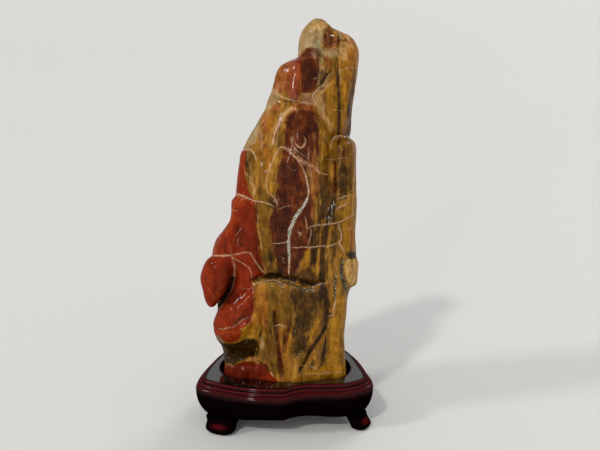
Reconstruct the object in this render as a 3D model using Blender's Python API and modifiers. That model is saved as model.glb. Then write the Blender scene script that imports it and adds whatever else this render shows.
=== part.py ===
"""A scholar's rock of red and ochre jasper in its carved, lacquered wooden stand.

The stone is one solid. It is composed, as a viewing stone is, for one eye point:
each lobe is drawn as a front outline on an upright sheet through the stone, given
a front and a back depth, and carried along the sight lines to its real place.
The lobes are fused, worn smooth, scored with the stone's clefts and cut off level
where it stands in the socket.

The stand is a body with stepped mouldings, hollowed on top by the socket, on four
scrolled feet.

Origin: middle of the stand, on the surface it stands on. +Z up, front towards -Y.
Lengths are written in millimetres; MM turns them into metres.
"""

import math
from dataclasses import dataclass

import bmesh
import bpy
import numpy as np
from mathutils import Vector, noise

MM = 0.001

# ---- Stand, driving sizes ------------------------------------------------------
FOOT_HEIGHT = 15.5
STAND_HEIGHT = 57.0
SOCKET_DEPTH = 12.0
CLEARANCE = 0.3  # between touching solids
SOCKET_FLOOR = STAND_HEIGHT - SOCKET_DEPTH

# Plan of the stand at its widest, the shoulder, going round from the left end of
# the front. The front runs in a shallow wave that follows the stone's foot.
STAND_PLAN = (
    (-100, -43), (-88, -54), (-62, -66), (-36, -73), (-12, -75), (3, -74),
    (12, -68), (26, -63.5), (48, -63), (70, -61), (89, -52), (99.6, -42),
    (100.8, -26), (96.5, -6), (90.5, 20), (83.5, 40), (71, 60), (46, 71),
    (8, 74.5), (-32, 73.5), (-62, 65), (-80, 46), (-90, 19), (-96, -2), (-100.4, -24),
)

# The socket is cut round the stone's own foot, this much wider than it at the
# front and back, and at the two ends, where a dark gap shows.
SOCKET_EASE = 0.9
SOCKET_END_EASE = 3.6

# Mouldings, from the underside up and in to the top plate: (inset, height).
STAND_PROFILE = (
    (18.5, FOOT_HEIGHT), (10.5, FOOT_HEIGHT), (8.6, 17.0), (5.6, 21.5), (2.9, 28.5), (0.9, 37.0),
    (0.0, 45.6), (0.4, 48.0), (2.0, 49.8), (4.2, 50.4), (5.0, 51.2), (5.0, 52.8),
    (7.6, 53.2), (8.4, 54.0), (8.6, 55.8), (9.4, 56.8), (11.0, 57.0),
)

# ---- Stone: eye point and sheet ------------------------------------------------
EYE = (17.5, -922.0, 481.0)
SHEET_Y = 0.0
VOXEL = 1.8
STONE_TRIANGLES = 6400


@dataclass(frozen=True)
class Lobe:
    """One mass of the stone.

    stations: (height, left, right, front, back) from the bottom up. The first three
    are read on the sheet, and front and back are real depths.
    domes: how far the rounded ends rise past the last station, below and above.
    squareness: 2 is an oval section, and more is a squarer one.
    """

    name: str
    stations: tuple
    domes: tuple = (6.0, 6.0)
    squareness: float = 2.4


LOBES = (
    Lobe("core", (
        (40, -54, 66, -20, 34), (75, -54, 64, -20, 38), (100, -64, 62, -24, 40),
        (125, -70, 64, -28, 42), (150, -66, 66, -30, 42), (190, -66, 70, -32, 42),
        (230, -56, 74, -32, 42), (262, -52, 75, -32, 42), (300, -44, 74, -30, 40),
        (340, -26, 68, -26, 36), (370, -10, 70, -20, 34), (395, 2, 73, -18, 32),
    ), domes=(6, 12), squareness=2.5),
    Lobe("summit", (
        (330, 20, 72, -26, 30), (360, 18, 74, -26, 30), (390, 16, 77, -24, 30),
        (408, 15.5, 79.5, -21, 29), (418, 15.5, 80, -19, 28), (428, 16.5, 76.5, -16, 26),
        (436, 18.5, 69, -13, 24), (442, 22, 56, -10, 20), (448, 28, 46, -5, 14),
    ), domes=(10, 5), squareness=2.6),
    Lobe("second_peak", (
        (340, -22, 46, -32, 18), (360, -18, 48, -36, 16), (375, -13, 49, -36, 14),
        (388, -10, 49, -35, 12), (397, -7, 48, -34, 10), (404, -2, 46, -33, 8),
        (409, 9, 44, -31, 5), (414, 18, 42, -29, 1), (418, 26, 40, -26, -4),
    ), domes=(10, 3), squareness=2.5),
    Lobe("peak_rib", (
        (372, -2, 24, -41, 0), (385, 0, 25, -41, 0), (398, 3, 25, -39.5, 0),
        (407, 8, 25, -36, -2),
    ), domes=(9, 5), squareness=2.1),
    Lobe("peak_face", (
        (380, 14, 37.5, -38, 0), (400, 14, 38, -37, 0), (410, 18, 37, -34, -4),
    ), domes=(8, 6), squareness=3.0),
    Lobe("left_slope", (
        (270, -48, 12, -42, 20), (295, -48, 14, -43, 22), (308, -47, 16, -43, 22),
        (318, -42, 18, -42, 22), (330, -36.5, 20, -40, 22), (340, -31.5, 22, -38, 20),
        (349, -26.5, 22, -36, 18), (358, -21, 22, -34, 16), (370, -17, 22, -32, 14),
        (380, -12, 22, -30, 10),
    ), domes=(12, 6), squareness=2.1),
    Lobe("middle", (
        (161, -26, 44, -46.5, 20), (180, -27, 50, -50, 22), (205, -28, 55, -53, 24), (235, -28, 56, -55, 26),
        (270, -26, 56, -55.5, 26), (300, -21, 54, -54.5, 26), (318, -14, 52, -53, 24),
        (332, -10, 48, -51, 22), (344, -7, 44, -48.5, 20), (353, -2, 40, -46, 16),
        (360, 4, 34, -43, 10),
    ), domes=(4, 6), squareness=2.3),
    Lobe("flank", (
        (164, -32, 10, -43, 20), (200, -38, 10, -48, 24), (235, -42, 10, -50, 24),
        (270, -44, 10, -49, 24), (300, -46, 10, -46, 22), (312, -45, 8, -43, 20),
    ), domes=(5, 9), squareness=2.3),
    Lobe("spine", (
        (240, -58, -24, -40, 10), (262, -54.5, -28, -41, 12), (280, -53, -30, -42, 12),
        (298, -50.5, -34, -41, 12), (307, -49, -38, -38, 8),
    ), domes=(8, 4), squareness=2.4),
    Lobe("red_shoulder", (
        (140, -57, -24, -41, 22), (150, -58.5, -24, -43, 22), (165, -60, -22, -44.5, 22),
        (178, -64, -20, -45, 24), (192, -82, -20, -45, 24),
        (202, -80.5, -20, -46, 26), (212, -76.5, -22, -46, 26), (222, -69, -24, -45, 25),
        (232, -62.5, -26, -44, 22), (245, -60.5, -28, -43, 18), (256, -60.5, -30, -42, 14),
    ), domes=(8, 4), squareness=2.3),
    Lobe("round_lobe", (
        (131, -89, -79, -38, -16), (137, -92, -74, -43, -12), (144, -93, -68, -46, -10),
        (152, -94, -64, -48, -8), (159, -96.5, -61.5, -49, -6), (169, -96, -60, -49, -4),
        (179, -92.5, -60, -48, -4), (187, -88, -61, -44, -6),
    ), domes=(3, 4), squareness=2.4),
    Lobe("hollow", (
        (100, -70, -30, -26, 20), (118, -76, -30, -25, 20), (130, -77.5, -30, -24, 20),
        (150, -76, -30, -25, 20), (170, -72, -30, -28, 20),
    ), domes=(6, 6), squareness=2.5),
    Lobe("boot", (
        (84, -78, -22, -41, 6), (95, -82, -18, -46, 10), (108, -84, -16, -48, 12),
        (118, -80.5, -16, -48, 12), (127, -76, -18, -47, 10), (134, -70.5, -19, -46, 8),
        (141, -62, -20, -45, 8), (146.5, -52, -22, -44, 6),
    ), domes=(7, 5), squareness=2.3),
    Lobe("gap_bank", (
        (118, -78, -50, -38, 6), (127, -75, -50, -39, 6), (135, -69, -46, -40, 6),
        (143, -63.5, -44, -41, 6), (152, -59.5, -42, -42, 6), (162, -57.5, -40, -43, 6),
        (173, -58, -40, -43.5, 6),
    ), domes=(4, 6), squareness=3.2),
    Lobe("lip", (
        (90, -78, -44, -50, -10), (95, -82.5, -38, -54.5, -8), (100, -83.5, -40, -54, -8),
    ), domes=(7, 3), squareness=2.2),
    Lobe("lip_rise", (
        (99, -58, -38, -53.5, -10), (106, -52, -33, -54, -10), (111.5, -47, -33, -53, -10),
    ), domes=(6, 3), squareness=2.2),
    Lobe("ankle", (
        (50, -71, -20, -21, 14), (68, -71.5, -20, -19, 14), (80, -74, -20, -24, 14), (92, -77, -20, -32, 14),
    ), domes=(4, 4), squareness=2.7),
    Lobe("toe", (
        (20, -72, -18, -30, 12), (46, -73, -14, -33, 12), (53, -72, -14, -33, 10),
    ), domes=(4, 7), squareness=2.4),
    Lobe("lower_block", (
        (15, -32, 40, -44, 10), (50, -32, 40, -45.5, 12), (80, -30, 42, -47, 12),
        (110, -30, 42, -48, 12), (135, -33, 40, -49, 12), (150, -35, 32, -49, 10), (158, -35, 22, -48, 10),
    ), domes=(4, 4), squareness=2.7),
    Lobe("lower_right", (
        (15, 12, 56, -36, 10), (50, 12, 56, -39, 12), (80, 12, 56, -43, 12),
        (110, 12, 58, -44, 12), (150, 16, 62, -46.5, 12), (190, 24, 66, -47, 12),
        (235, 30, 70, -46, 12), (280, 34, 68, -40, 12),
    ), domes=(4, 20), squareness=2.4),
    Lobe("fold", (
        (20, 4, 24, -45, 0), (60, 4, 24, -48, 0), (95, 2, 24, -51, 0), (115, 6, 26, -50, 0),
    ), domes=(4, 10), squareness=2.0),
    Lobe("right_column", (
        (20, 30, 72.5, -33, 12), (50, 30, 72, -35, 14), (80, 30, 70, -37, 14),
        (100, 32, 69, -38, 14), (120, 34, 71, -39, 16), (140, 36, 72.5, -40, 18),
        (152, 38, 75, -40, 20), (165, 40, 78, -40, 20), (196, 42, 81, -41, 24),
        (230, 42, 80, -42, 24), (270, 40, 80, -41, 24), (300, 40, 78, -38, 22),
    ), domes=(4, 10), squareness=2.9),
    Lobe("right_block", (
        (230, 50, 79, -40, 20), (270, 50, 80, -44, 22), (300, 51, 79, -44.5, 22),
        (318, 52, 77.5, -43, 20),
    ), domes=(12, 7), squareness=3.2),
    Lobe("broken_facet", (
        (158, 60, 82.5, -34, 8), (170, 62, 83, -38, 10), (184, 62, 84, -37, 10),
    ), domes=(4.5, 5), squareness=2.8),
    Lobe("back_foot", (
        (20, -50, 52, 4, 38), (56, -51, 53, 4, 40), (88, -50, 56, 4, 47), (108, -42, 54, 4, 45),
        (124, -30, 46, 4, 38),
    ), domes=(4, 5), squareness=2.4),
    Lobe("back_left", (
        (100, -54, -10, 0, 36), (120, -60, -4, 0, 46), (150, -58, 2, 0, 52),
        (190, -52, 4, 0, 53), (230, -46, 6, 0, 49), (262, -40, 8, 0, 43), (288, -32, 6, 0, 35),
    ), domes=(5, 5), squareness=2.2),
    Lobe("back_rib", (
        (50, 24, 44, 8, 38), (80, 16, 44, 8, 48), (120, 12, 44, 8, 54), (180, 12, 48, 8, 57),
        (240, 20, 50, 8, 54), (290, 27, 54, 8, 47), (330, 32, 57, 8, 40), (362, 36, 56, 8, 31),
    ), domes=(5, 5), squareness=2.1),
    Lobe("back_block", (
        (120, 50, 67, 4, 33), (150, 46, 72, 4, 42), (190, 46, 75, 4, 46), (240, 45, 75, 4, 44),
        (275, 48, 74, 4, 38), (304, 52, 72, 4, 30),
    ), domes=(5, 5), squareness=2.6),
    Lobe("back_peak", (
        (298, -26, 8, 0, 33), (325, -17, 20, 0, 42), (350, -8, 28, 0, 41), (372, 2, 33, 0, 36),
        (392, 11, 34, 0, 28),
    ), domes=(5, 5), squareness=2.3),
    Lobe("left_heel", (
        (76, -68, -44, 2, 22), (92, -76, -40, 2, 30), (106, -79, -40, 2, 33),
        (122, -72, -42, 2, 27), (134, -66, -44, 2, 20),
    ), domes=(5, 5), squareness=2.3),
)

@dataclass(frozen=True)
class Cleft:
    """A crack or crease pressed into the stone's front along a path on the sheet."""

    path: tuple
    width: float
    depth: float


CLEFTS = (
    Cleft(((-38, 160), (-24, 162.5), (-8, 163), (6, 161), (16, 157.5), (30, 154), (44, 156)), 2.3, 5.0),
    Cleft(((-59, 172), (-60, 160), (-64, 149), (-71, 139), (-79, 129)), 2.2, 4.0),
    Cleft(((-84, 103), (-70, 102.5), (-60, 104), (-52, 110), (-45, 116), (-38, 116)), 2.2, 2.6),
    Cleft(((-35, 153), (-46, 149), (-58, 143), (-66, 135)), 2.4, 2.2),
    Cleft(((-15, 372), (-4, 366), (8, 364), (20, 366), (32, 371), (42, 380)), 2.4, 1.6),
    Cleft(((38.5, 376), (39.5, 392), (40, 408)), 2.4, 1.6),
    Cleft(((2, 412), (7, 402), (6, 388), (2, 376)), 2.0, 1.0),
    Cleft(((44, 421), (56, 421), (66, 425)), 2.2, 1.6),
    Cleft(((47, 442), (50, 432), (50, 424)), 3.4, 1.6),
    Cleft(((59, 412), (60, 380), (60, 335)), 1.8, 1.6),
    Cleft(((73, 386), (73.5, 360), (72, 340)), 2.0, 1.6),
    Cleft(((54, 250), (55, 290), (56, 318), (58, 329), (74, 329)), 1.8, 1.4),
    Cleft(((46, 350), (50, 335), (54, 322)), 2.4, 1.6),
    Cleft(((-10, 346), (-13, 330), (-14, 312), (-17, 292)), 3.0, 1.8),
    Cleft(((-41, 308), (-38, 290), (-33, 268), (-32, 240), (-30, 205), (-28, 180)), 2.6, 1.8),
    Cleft(((-60, 260), (-48, 259), (-36, 256)), 1.8, 1.6),
    Cleft(((64, 197), (74, 192), (84, 194)), 2.0, 2.6),
    Cleft(((67, 196), (64, 182), (67, 166), (69, 152)), 2.0, 2.6),
    Cleft(((50, 258), (44, 230), (42, 205), (42, 180)), 2.4, 1.4),
    Cleft(((-12, 120), (-11, 96), (-8, 70), (-6, 46)), 2.6, 3.0),
    Cleft(((4, 126), (9, 110), (2, 92), (1, 74)), 3.0, 2.2),
    Cleft(((-28, 128), (-24, 108), (-26, 88), (-20, 66)), 3.0, 2.0),
    Cleft(((47, 140), (48, 112), (42, 92), (31, 72), (20, 52)), 2.6, 2.4),
    Cleft(((24, 112), (27, 96), (22, 84), (14, 66)), 3.0, 2.0),
    Cleft(((-79, 190), (-70, 190), (-60, 192), (-48, 194)), 1.6, 1.2),
)

# The same on the back, along paths in plain width and height.
BACK_CLEFTS = (
    Cleft(((-60, 128), (-30, 118), (0, 121), (26, 112), (62, 116)), 3.0, 3.6),
    Cleft(((8, 330), (9, 280), (8, 220), (6, 160), (10, 110)), 3.4, 2.6),
    Cleft(((46, 300), (45, 240), (44, 180), (48, 130)), 2.8, 2.6),
    Cleft(((-24, 306), (0, 312), (28, 322), (60, 318)), 2.6, 2.8),
    Cleft(((-20, 100), (-16, 76), (-18, 48)), 3.4, 2.6),
    Cleft(((24, 104), (28, 80), (22, 48)), 3.4, 2.4),
    Cleft(((34, 440), (38, 410), (34, 385), (38, 350)), 3.0, 2.4),
    Cleft(((-50, 226), (-28, 214), (-8, 218)), 2.2, 1.8),
    Cleft(((16, 246), (34, 252), (50, 240)), 2.2, 1.8),
)

def remove_everything():
    """Starts from an empty scene, whatever is open."""
    for obj in list(bpy.data.objects):
        bpy.data.objects.remove(obj, do_unlink=True)


def new_collection(name):
    made = bpy.data.collections.new(name)
    bpy.context.scene.collection.children.link(made)
    return made


def new_material(name, colour, roughness):
    made = bpy.data.materials.new(name)
    made.use_nodes = True
    shader = made.node_tree.nodes["Principled BSDF"]
    shader.inputs["Base Color"].default_value = (*colour, 1.0)
    shader.inputs["Roughness"].default_value = roughness
    shader.inputs["Metallic"].default_value = 0.0
    return made


# ---- Lofts ---------------------------------------------------------------------
def loft(bm, rings):
    """Skins closed counter-clockwise rings of equal length, listed upwards, and caps both ends."""
    rows = [[bm.verts.new(point) for point in ring] for ring in rings]
    count = len(rows[0])
    for below, above in zip(rows, rows[1:]):
        for i in range(count):
            j = (i + 1) % count
            bm.faces.new((below[i], below[j], above[j], above[i]))
    bm.faces.new(list(reversed(rows[0])))
    bm.faces.new(rows[-1])


def object_of(bm, name, collection):
    mesh = bpy.data.meshes.new(name)
    bm.to_mesh(mesh)
    bm.free()
    made = bpy.data.objects.new(name, mesh)
    collection.objects.link(made)
    return made


def closed_spline(points, count):
    """The smooth closed curve through plan points, as count points evenly spaced along it."""
    knots = np.array(points, float)
    fine = []
    steps = np.linspace(0, 1, 24, endpoint=False)[:, None]
    for i in range(len(knots)):
        a, b, c, d = (knots[(i + k) % len(knots)] for k in (-1, 0, 1, 2))
        curve = (c - a) * steps + (2 * a - 5 * b + 4 * c - d) * steps**2
        curve += (3 * b - a - 3 * c + d) * steps**3
        fine.append(b + 0.5 * curve)
    fine = np.concatenate(fine)
    closed = np.vstack([fine, fine[:1]])
    along = np.concatenate([[0], np.cumsum(np.linalg.norm(np.diff(closed, axis=0), axis=1))])
    wanted = np.linspace(0, along[-1], count, endpoint=False)
    return np.stack([np.interp(wanted, along, closed[:, k]) for k in (0, 1)], 1)


def inset_plan(plan, distance):
    """A counter-clockwise plan moved inwards square to itself."""
    ahead, behind = np.roll(plan, -1, 0), np.roll(plan, 1, 0)
    tangent = ahead - behind
    inward = np.stack([-tangent[:, 1], tangent[:, 0]], 1)
    inward /= np.linalg.norm(inward, axis=1)[:, None]
    return plan + inward * distance


# ---- Stone ---------------------------------------------------------------------
def on_sight_line(x, y, z):
    """The point at depth y on the line from the eye through (x, z) of the sheet."""
    share = (y - EYE[1]) / (SHEET_Y - EYE[1])
    return EYE[0] + (x - EYE[0]) * share, y, EYE[2] + (z - EYE[2]) * share


def on_sheet(points):
    """Sheet coordinates of real points, the reverse of on_sight_line."""
    share = (SHEET_Y - EYE[1]) / (points[:, 1] - EYE[1])
    across = EYE[0] + (points[:, 0] - EYE[0]) * share
    upwards = EYE[2] + (points[:, 2] - EYE[2]) * share
    return np.stack([across, upwards], 1)


def eased(stations, step=4.0):
    """Stations every step or so of height, on smooth curves through the given ones."""
    given = np.array(stations, float)
    z = given[:, 0]
    count = max(2, int(round((z[-1] - z[0]) / step)) + 1)
    wanted = np.linspace(z[0], z[-1], count)
    slopes = np.gradient(given, z, axis=0)
    index = np.clip(np.searchsorted(z, wanted, side="right") - 1, 0, len(z) - 2)
    gap = (z[index + 1] - z[index])[:, None]
    t = (wanted - z[index])[:, None] / gap
    a, b = given[index], given[index + 1]
    leaving, arriving = gap * slopes[index], gap * slopes[index + 1]
    made = a + (b - a) * (3 * t**2 - 2 * t**3) + leaving * (t**3 - 2 * t**2 + t)
    made += arriving * (t**3 - t**2)
    made[:, 0] = wanted
    return made


def lobe_rings(lobe, around=48, dome_steps=4):
    """Closed rings of one lobe, from the bottom dome up to the top one."""
    stations = eased(lobe.stations)
    angles = np.linspace(0, 2 * math.pi, around, endpoint=False)
    power = 2 / lobe.squareness
    wide = np.sign(np.cos(angles)) * np.abs(np.cos(angles)) ** power
    deep = np.sign(np.sin(angles)) * np.abs(np.sin(angles)) ** power
    turns = [math.pi / 2 * (k + 0.4) / (dome_steps + 0.4) for k in range(dome_steps, 0, -1)]
    below = [(stations[0], -lobe.domes[0] * math.sin(a), math.cos(a)) for a in turns]
    above = [(stations[-1], lobe.domes[1] * math.sin(a), math.cos(a)) for a in reversed(turns)]
    rings = []
    for station, rise, share in below + [(given, 0.0, 1.0) for given in stations] + above:
        z, left, right, front, back = station
        x = (left + right) / 2 + wide * share * (right - left) / 2
        y = (front + back) / 2 + deep * share * (back - front) / 2
        ring = [on_sight_line(x[k], y[k], z + rise) for k in range(around)]
        rings.append([Vector(point) * MM for point in ring])
    return rings


def modifier(obj, kind, **settings):
    made = obj.modifiers.new(kind.title(), kind)
    for key, value in settings.items():
        setattr(made, key, value)
    return made


def evaluated_mesh(obj):
    """The object's mesh with its modifiers applied, in place of the old one."""
    graph = bpy.context.evaluated_depsgraph_get()
    mesh = bpy.data.meshes.new_from_object(obj.evaluated_get(graph))
    obj.modifiers.clear()
    obj.data = mesh
    return mesh


def vertex_arrays(mesh):
    """Positions in millimetres and unit normals of every vertex."""
    points = np.empty(len(mesh.vertices) * 3)
    normals = np.empty(len(mesh.vertices) * 3)
    mesh.vertices.foreach_get("co", points)
    mesh.vertices.foreach_get("normal", normals)
    return points.reshape(-1, 3) / MM, normals.reshape(-1, 3)


def distance_to_path(points, path):
    """Distance of each sheet point from a path of straight runs."""
    nearest = np.full(len(points), np.inf)
    for start, end in zip(path, path[1:]):
        a, run = np.array(start, float), np.subtract(end, start).astype(float)
        t = np.clip(((points - a) @ run) / (run @ run), 0, 1)
        nearest = np.minimum(nearest, np.linalg.norm(points - a - t[:, None] * run, axis=1))
    return nearest


def wear_and_score(mesh):
    """Moves the fused stone's skin: long upright swells as water leaves them, then the clefts."""
    points, normals = vertex_arrays(mesh)
    move = np.empty(len(points))
    for i, (x, y, z) in enumerate(points):
        flutes = noise.noise(Vector((x / 17, y / 17, z / 62)))
        swells = noise.noise(Vector((x / 34 + 7, y / 34, z / 48)))
        pits = noise.noise(Vector((x / 8, y / 8 + 5, z / 15)))
        folds = noise.noise(Vector((x / 24 + 3, y / 24, z / 70 + x / 90)))
        hidden = min(max(normals[i][1] * 1.6 - 0.1, 0.0), 1.0)
        move[i] = 1.5 * flutes + 1.6 * swells + 0.6 * pits + hidden * (4.5 * folds + 1.0 * pits)
    front = np.clip(-normals[:, 1] * 2.5, 0, 1)
    back = np.clip(normals[:, 1] * 2.5, 0, 1)
    for clefts, facing, drawn in (
        (CLEFTS, front, on_sheet(points)), (BACK_CLEFTS, back, points[:, [0, 2]])
    ):
        for cleft in clefts:
            near = distance_to_path(drawn, cleft.path)
            move -= cleft.depth * facing * np.exp(-((near / cleft.width) ** 2))
    moved = (points + normals * move[:, None]) * MM
    mesh.vertices.foreach_set("co", moved.ravel())
    mesh.update()


def cut_level(mesh, height):
    """Cuts the mesh off flat at a height, keeps what is above it and closes the cut."""
    bm = bmesh.new()
    bm.from_mesh(mesh)
    everything = bm.verts[:] + bm.edges[:] + bm.faces[:]
    level = {"plane_co": (0, 0, height), "plane_no": (0, 0, 1), "dist": 1e-6}
    cut = bmesh.ops.bisect_plane(bm, geom=everything, clear_inner=True, **level)
    rim = [e for e in cut["geom_cut"] if isinstance(e, bmesh.types.BMEdge)]
    bmesh.ops.triangle_fill(bm, edges=rim, use_beauty=True, normal=(0, 0, -1))
    bmesh.ops.recalc_face_normals(bm, faces=bm.faces[:])
    bm.to_mesh(mesh)
    bm.free()


def keep_outer_skin(mesh):
    """Keeps the widest closed shell, so that no bubble is left inside the fused lobes."""
    bm = bmesh.new()
    bm.from_mesh(mesh)
    left = set(bm.verts)
    shells = []
    while left:
        shell, edge_of_search = set(), [left.pop()]
        while edge_of_search:
            vert = edge_of_search.pop()
            shell.add(vert)
            for edge in vert.link_edges:
                other = edge.other_vert(vert)
                if other in left:
                    left.remove(other)
                    edge_of_search.append(other)
        shells.append(shell)
    shells.sort(key=len)
    bmesh.ops.delete(bm, geom=[v for shell in shells[:-1] for v in shell], context="VERTS")
    bm.to_mesh(mesh)
    bm.free()


def build_stone(collection, material):
    bm = bmesh.new()
    for lobe in LOBES:
        loft(bm, lobe_rings(lobe))
    stone = object_of(bm, "rock", collection)
    modifier(stone, "REMESH", mode="VOXEL", voxel_size=VOXEL * MM)
    modifier(stone, "SMOOTH", factor=0.5, iterations=5)
    skin = evaluated_mesh(stone)
    keep_outer_skin(skin)
    wear_and_score(skin)
    modifier(stone, "SMOOTH", factor=0.5, iterations=1)
    triangles = 2 * len(stone.data.polygons)
    modifier(stone, "DECIMATE", ratio=STONE_TRIANGLES / triangles, use_collapse_triangulate=True)
    cut_level(evaluated_mesh(stone), (SOCKET_FLOOR + CLEARANCE) * MM)
    stone.data.materials.append(material)
    stone.data.shade_smooth()
    return stone


# ---- Stand ---------------------------------------------------------------------
def shade(obj):
    """Smooth over the round faces, sharp at the edges of the mouldings."""
    obj.data.shade_smooth()
    obj.data.set_sharp_from_angle(angle=math.radians(34))


def ring_at(plan, height):
    return [Vector((x, y, height)) * MM for x, y in plan]


def socket_plan(stone, count=60):
    """Outline of the socket: the stone's foot as seen from above, eased outwards and smoothed."""
    points, _ = vertex_arrays(stone.data)
    foot = points[points[:, 2] < STAND_HEIGHT + 1.0]
    reach = np.hypot(foot[:, 0], foot[:, 1])
    heading = np.arctan2(foot[:, 1], foot[:, 0])
    angles = np.linspace(-math.pi, math.pi, count, endpoint=False)
    radius = np.empty(count)
    for k, angle in enumerate(angles):
        off = np.abs((heading - angle + math.pi) % (2 * math.pi) - math.pi)
        radius[k] = reach[off < 0.13].max()
    smooth = radius.copy()
    for _ in range(3):
        smooth = (np.roll(smooth, 1) + 2 * smooth + np.roll(smooth, -1)) / 4
    ends = np.abs(np.cos(angles)) ** 6
    radius = np.maximum(smooth, radius) + SOCKET_EASE + (SOCKET_END_EASE - SOCKET_EASE) * ends
    for _ in range(2):
        radius = np.maximum((np.roll(radius, 1) + 2 * radius + np.roll(radius, -1)) / 4, radius - 0.4)
    return np.stack([np.cos(angles) * radius, np.sin(angles) * radius], 1)


def build_stand_body(stone, collection, cutters, material):
    plan = closed_spline(STAND_PLAN, 66)
    plan -= (plan.min(0) + plan.max(0)) / 2
    bm = bmesh.new()
    loft(bm, [ring_at(inset_plan(plan, inset), height) for inset, height in STAND_PROFILE])
    body = object_of(bm, "stand_body", collection)
    shade(body)
    bm = bmesh.new()
    socket = socket_plan(stone)
    loft(bm, [ring_at(socket, SOCKET_FLOOR), ring_at(socket, STAND_HEIGHT + 5)])
    cutter = object_of(bm, "socket_cutter", cutters)
    cutter.hide_render = True
    cutter.display_type = "WIRE"
    modifier(body, "BOOLEAN", operation="DIFFERENCE", object=cutter)
    body.data.materials.append(material)
    return body


# Foot sections, from the floor up: (height, reach outwards, share of width, share of depth).
FOOT_SECTIONS = (
    (0.0, 5.6, 0.66, 0.78), (0.8, 6.8, 0.78, 0.88), (2.4, 7.8, 0.90, 0.97), (4.4, 7.8, 0.97, 1.0),
    (7.0, 6.6, 1.0, 0.99), (10.0, 4.2, 1.03, 0.96), (12.8, 2.0, 1.08, 0.95),
    (FOOT_HEIGHT - CLEARANCE, 0.8, 1.14, 0.98),
)
# Where each foot stands, the way it points in degrees from +X, half its width and depth.
FEET = {
    "foot_front_left": (-69.5, -48, 250, 17.8, 11.5),
    "foot_front_right": (80.5, -40, 322, 12.5, 10.5),
    "foot_back_right": (60, 44, 48, 12.5, 10.5),
    "foot_back_left": (-66, 44, 134, 12.5, 10.5),
}


def build_foot(name, place, collection, material):
    x, y, heading, half_width, half_depth = place
    outward = math.radians(heading)
    bm = bmesh.new()
    rings = []
    for height, reach, width_share, depth_share in FOOT_SECTIONS:
        ring = []
        for k in range(24):
            a = 2 * math.pi * k / 24
            deep = math.copysign(abs(math.cos(a)) ** 0.8, math.cos(a)) * half_depth * depth_share + reach
            wide = math.copysign(abs(math.sin(a)) ** 0.8, math.sin(a)) * half_width * width_share
            ring.append(Vector((
                x + deep * math.cos(outward) - wide * math.sin(outward),
                y + deep * math.sin(outward) + wide * math.cos(outward),
                height,
            )) * MM)
        rings.append(ring)
    loft(bm, rings)
    foot = object_of(bm, name, collection)
    shade(foot)
    foot.data.materials.append(material)
    return foot


def main():
    remove_everything()
    parts = new_collection("scholars_rock")
    cutters = new_collection("cutters")
    jasper = new_material("jasper", (0.32, 0.13, 0.04), 0.22)
    lacquer = new_material("lacquered_wood", (0.035, 0.008, 0.008), 0.18)
    stone = build_stone(parts, jasper)
    build_stand_body(stone, parts, cutters, lacquer)
    for name, place in FEET.items():
        build_foot(name, place, parts, lacquer)


main()
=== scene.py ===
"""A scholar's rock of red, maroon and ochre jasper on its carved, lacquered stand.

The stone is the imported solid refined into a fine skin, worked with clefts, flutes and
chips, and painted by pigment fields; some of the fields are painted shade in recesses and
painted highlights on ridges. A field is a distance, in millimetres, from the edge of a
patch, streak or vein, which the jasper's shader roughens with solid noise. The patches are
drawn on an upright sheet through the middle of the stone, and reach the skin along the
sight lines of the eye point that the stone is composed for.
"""

import logging
import math
from collections.abc import Sequence
from dataclasses import dataclass, field
from enum import Enum
from functools import reduce

import bmesh
import bpy
import numpy as np
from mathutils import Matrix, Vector
from mathutils import noise as lattice


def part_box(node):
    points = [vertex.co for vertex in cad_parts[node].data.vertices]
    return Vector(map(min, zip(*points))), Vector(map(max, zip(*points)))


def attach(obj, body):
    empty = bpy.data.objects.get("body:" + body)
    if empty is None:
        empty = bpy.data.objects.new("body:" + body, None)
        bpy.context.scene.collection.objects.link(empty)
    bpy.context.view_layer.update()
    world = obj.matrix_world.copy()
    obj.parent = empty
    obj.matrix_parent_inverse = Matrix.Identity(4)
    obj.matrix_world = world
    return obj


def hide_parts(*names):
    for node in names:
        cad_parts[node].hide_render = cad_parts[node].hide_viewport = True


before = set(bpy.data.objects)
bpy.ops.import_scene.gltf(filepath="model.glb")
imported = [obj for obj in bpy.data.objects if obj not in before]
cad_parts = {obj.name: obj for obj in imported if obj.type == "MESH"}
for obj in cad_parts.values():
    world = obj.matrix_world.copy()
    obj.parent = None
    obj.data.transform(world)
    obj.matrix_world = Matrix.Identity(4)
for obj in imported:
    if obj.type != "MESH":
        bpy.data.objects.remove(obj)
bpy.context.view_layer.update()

log = logging.getLogger("scholars_rock")

MM = 0.001
MIX_SHARE, MIX_UNDER, MIX_OVER, MIX_RESULT = 0, 6, 7, 2  # the colour sockets of a Mix node
VEIN_REACH = 9.0  # how far from a vein its fields are told apart, in millimetres
VEIN_AWAY = 1.5  # a vein's half width on the face turned away, below zero
VEIN_TAPER = 14.0  # a vein's ends thin out over one part in this many of its length
Path = tuple[tuple[float, float], ...]
Colour = tuple[float, float, float]
Stops = tuple[tuple[float, Colour], ...]


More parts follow.
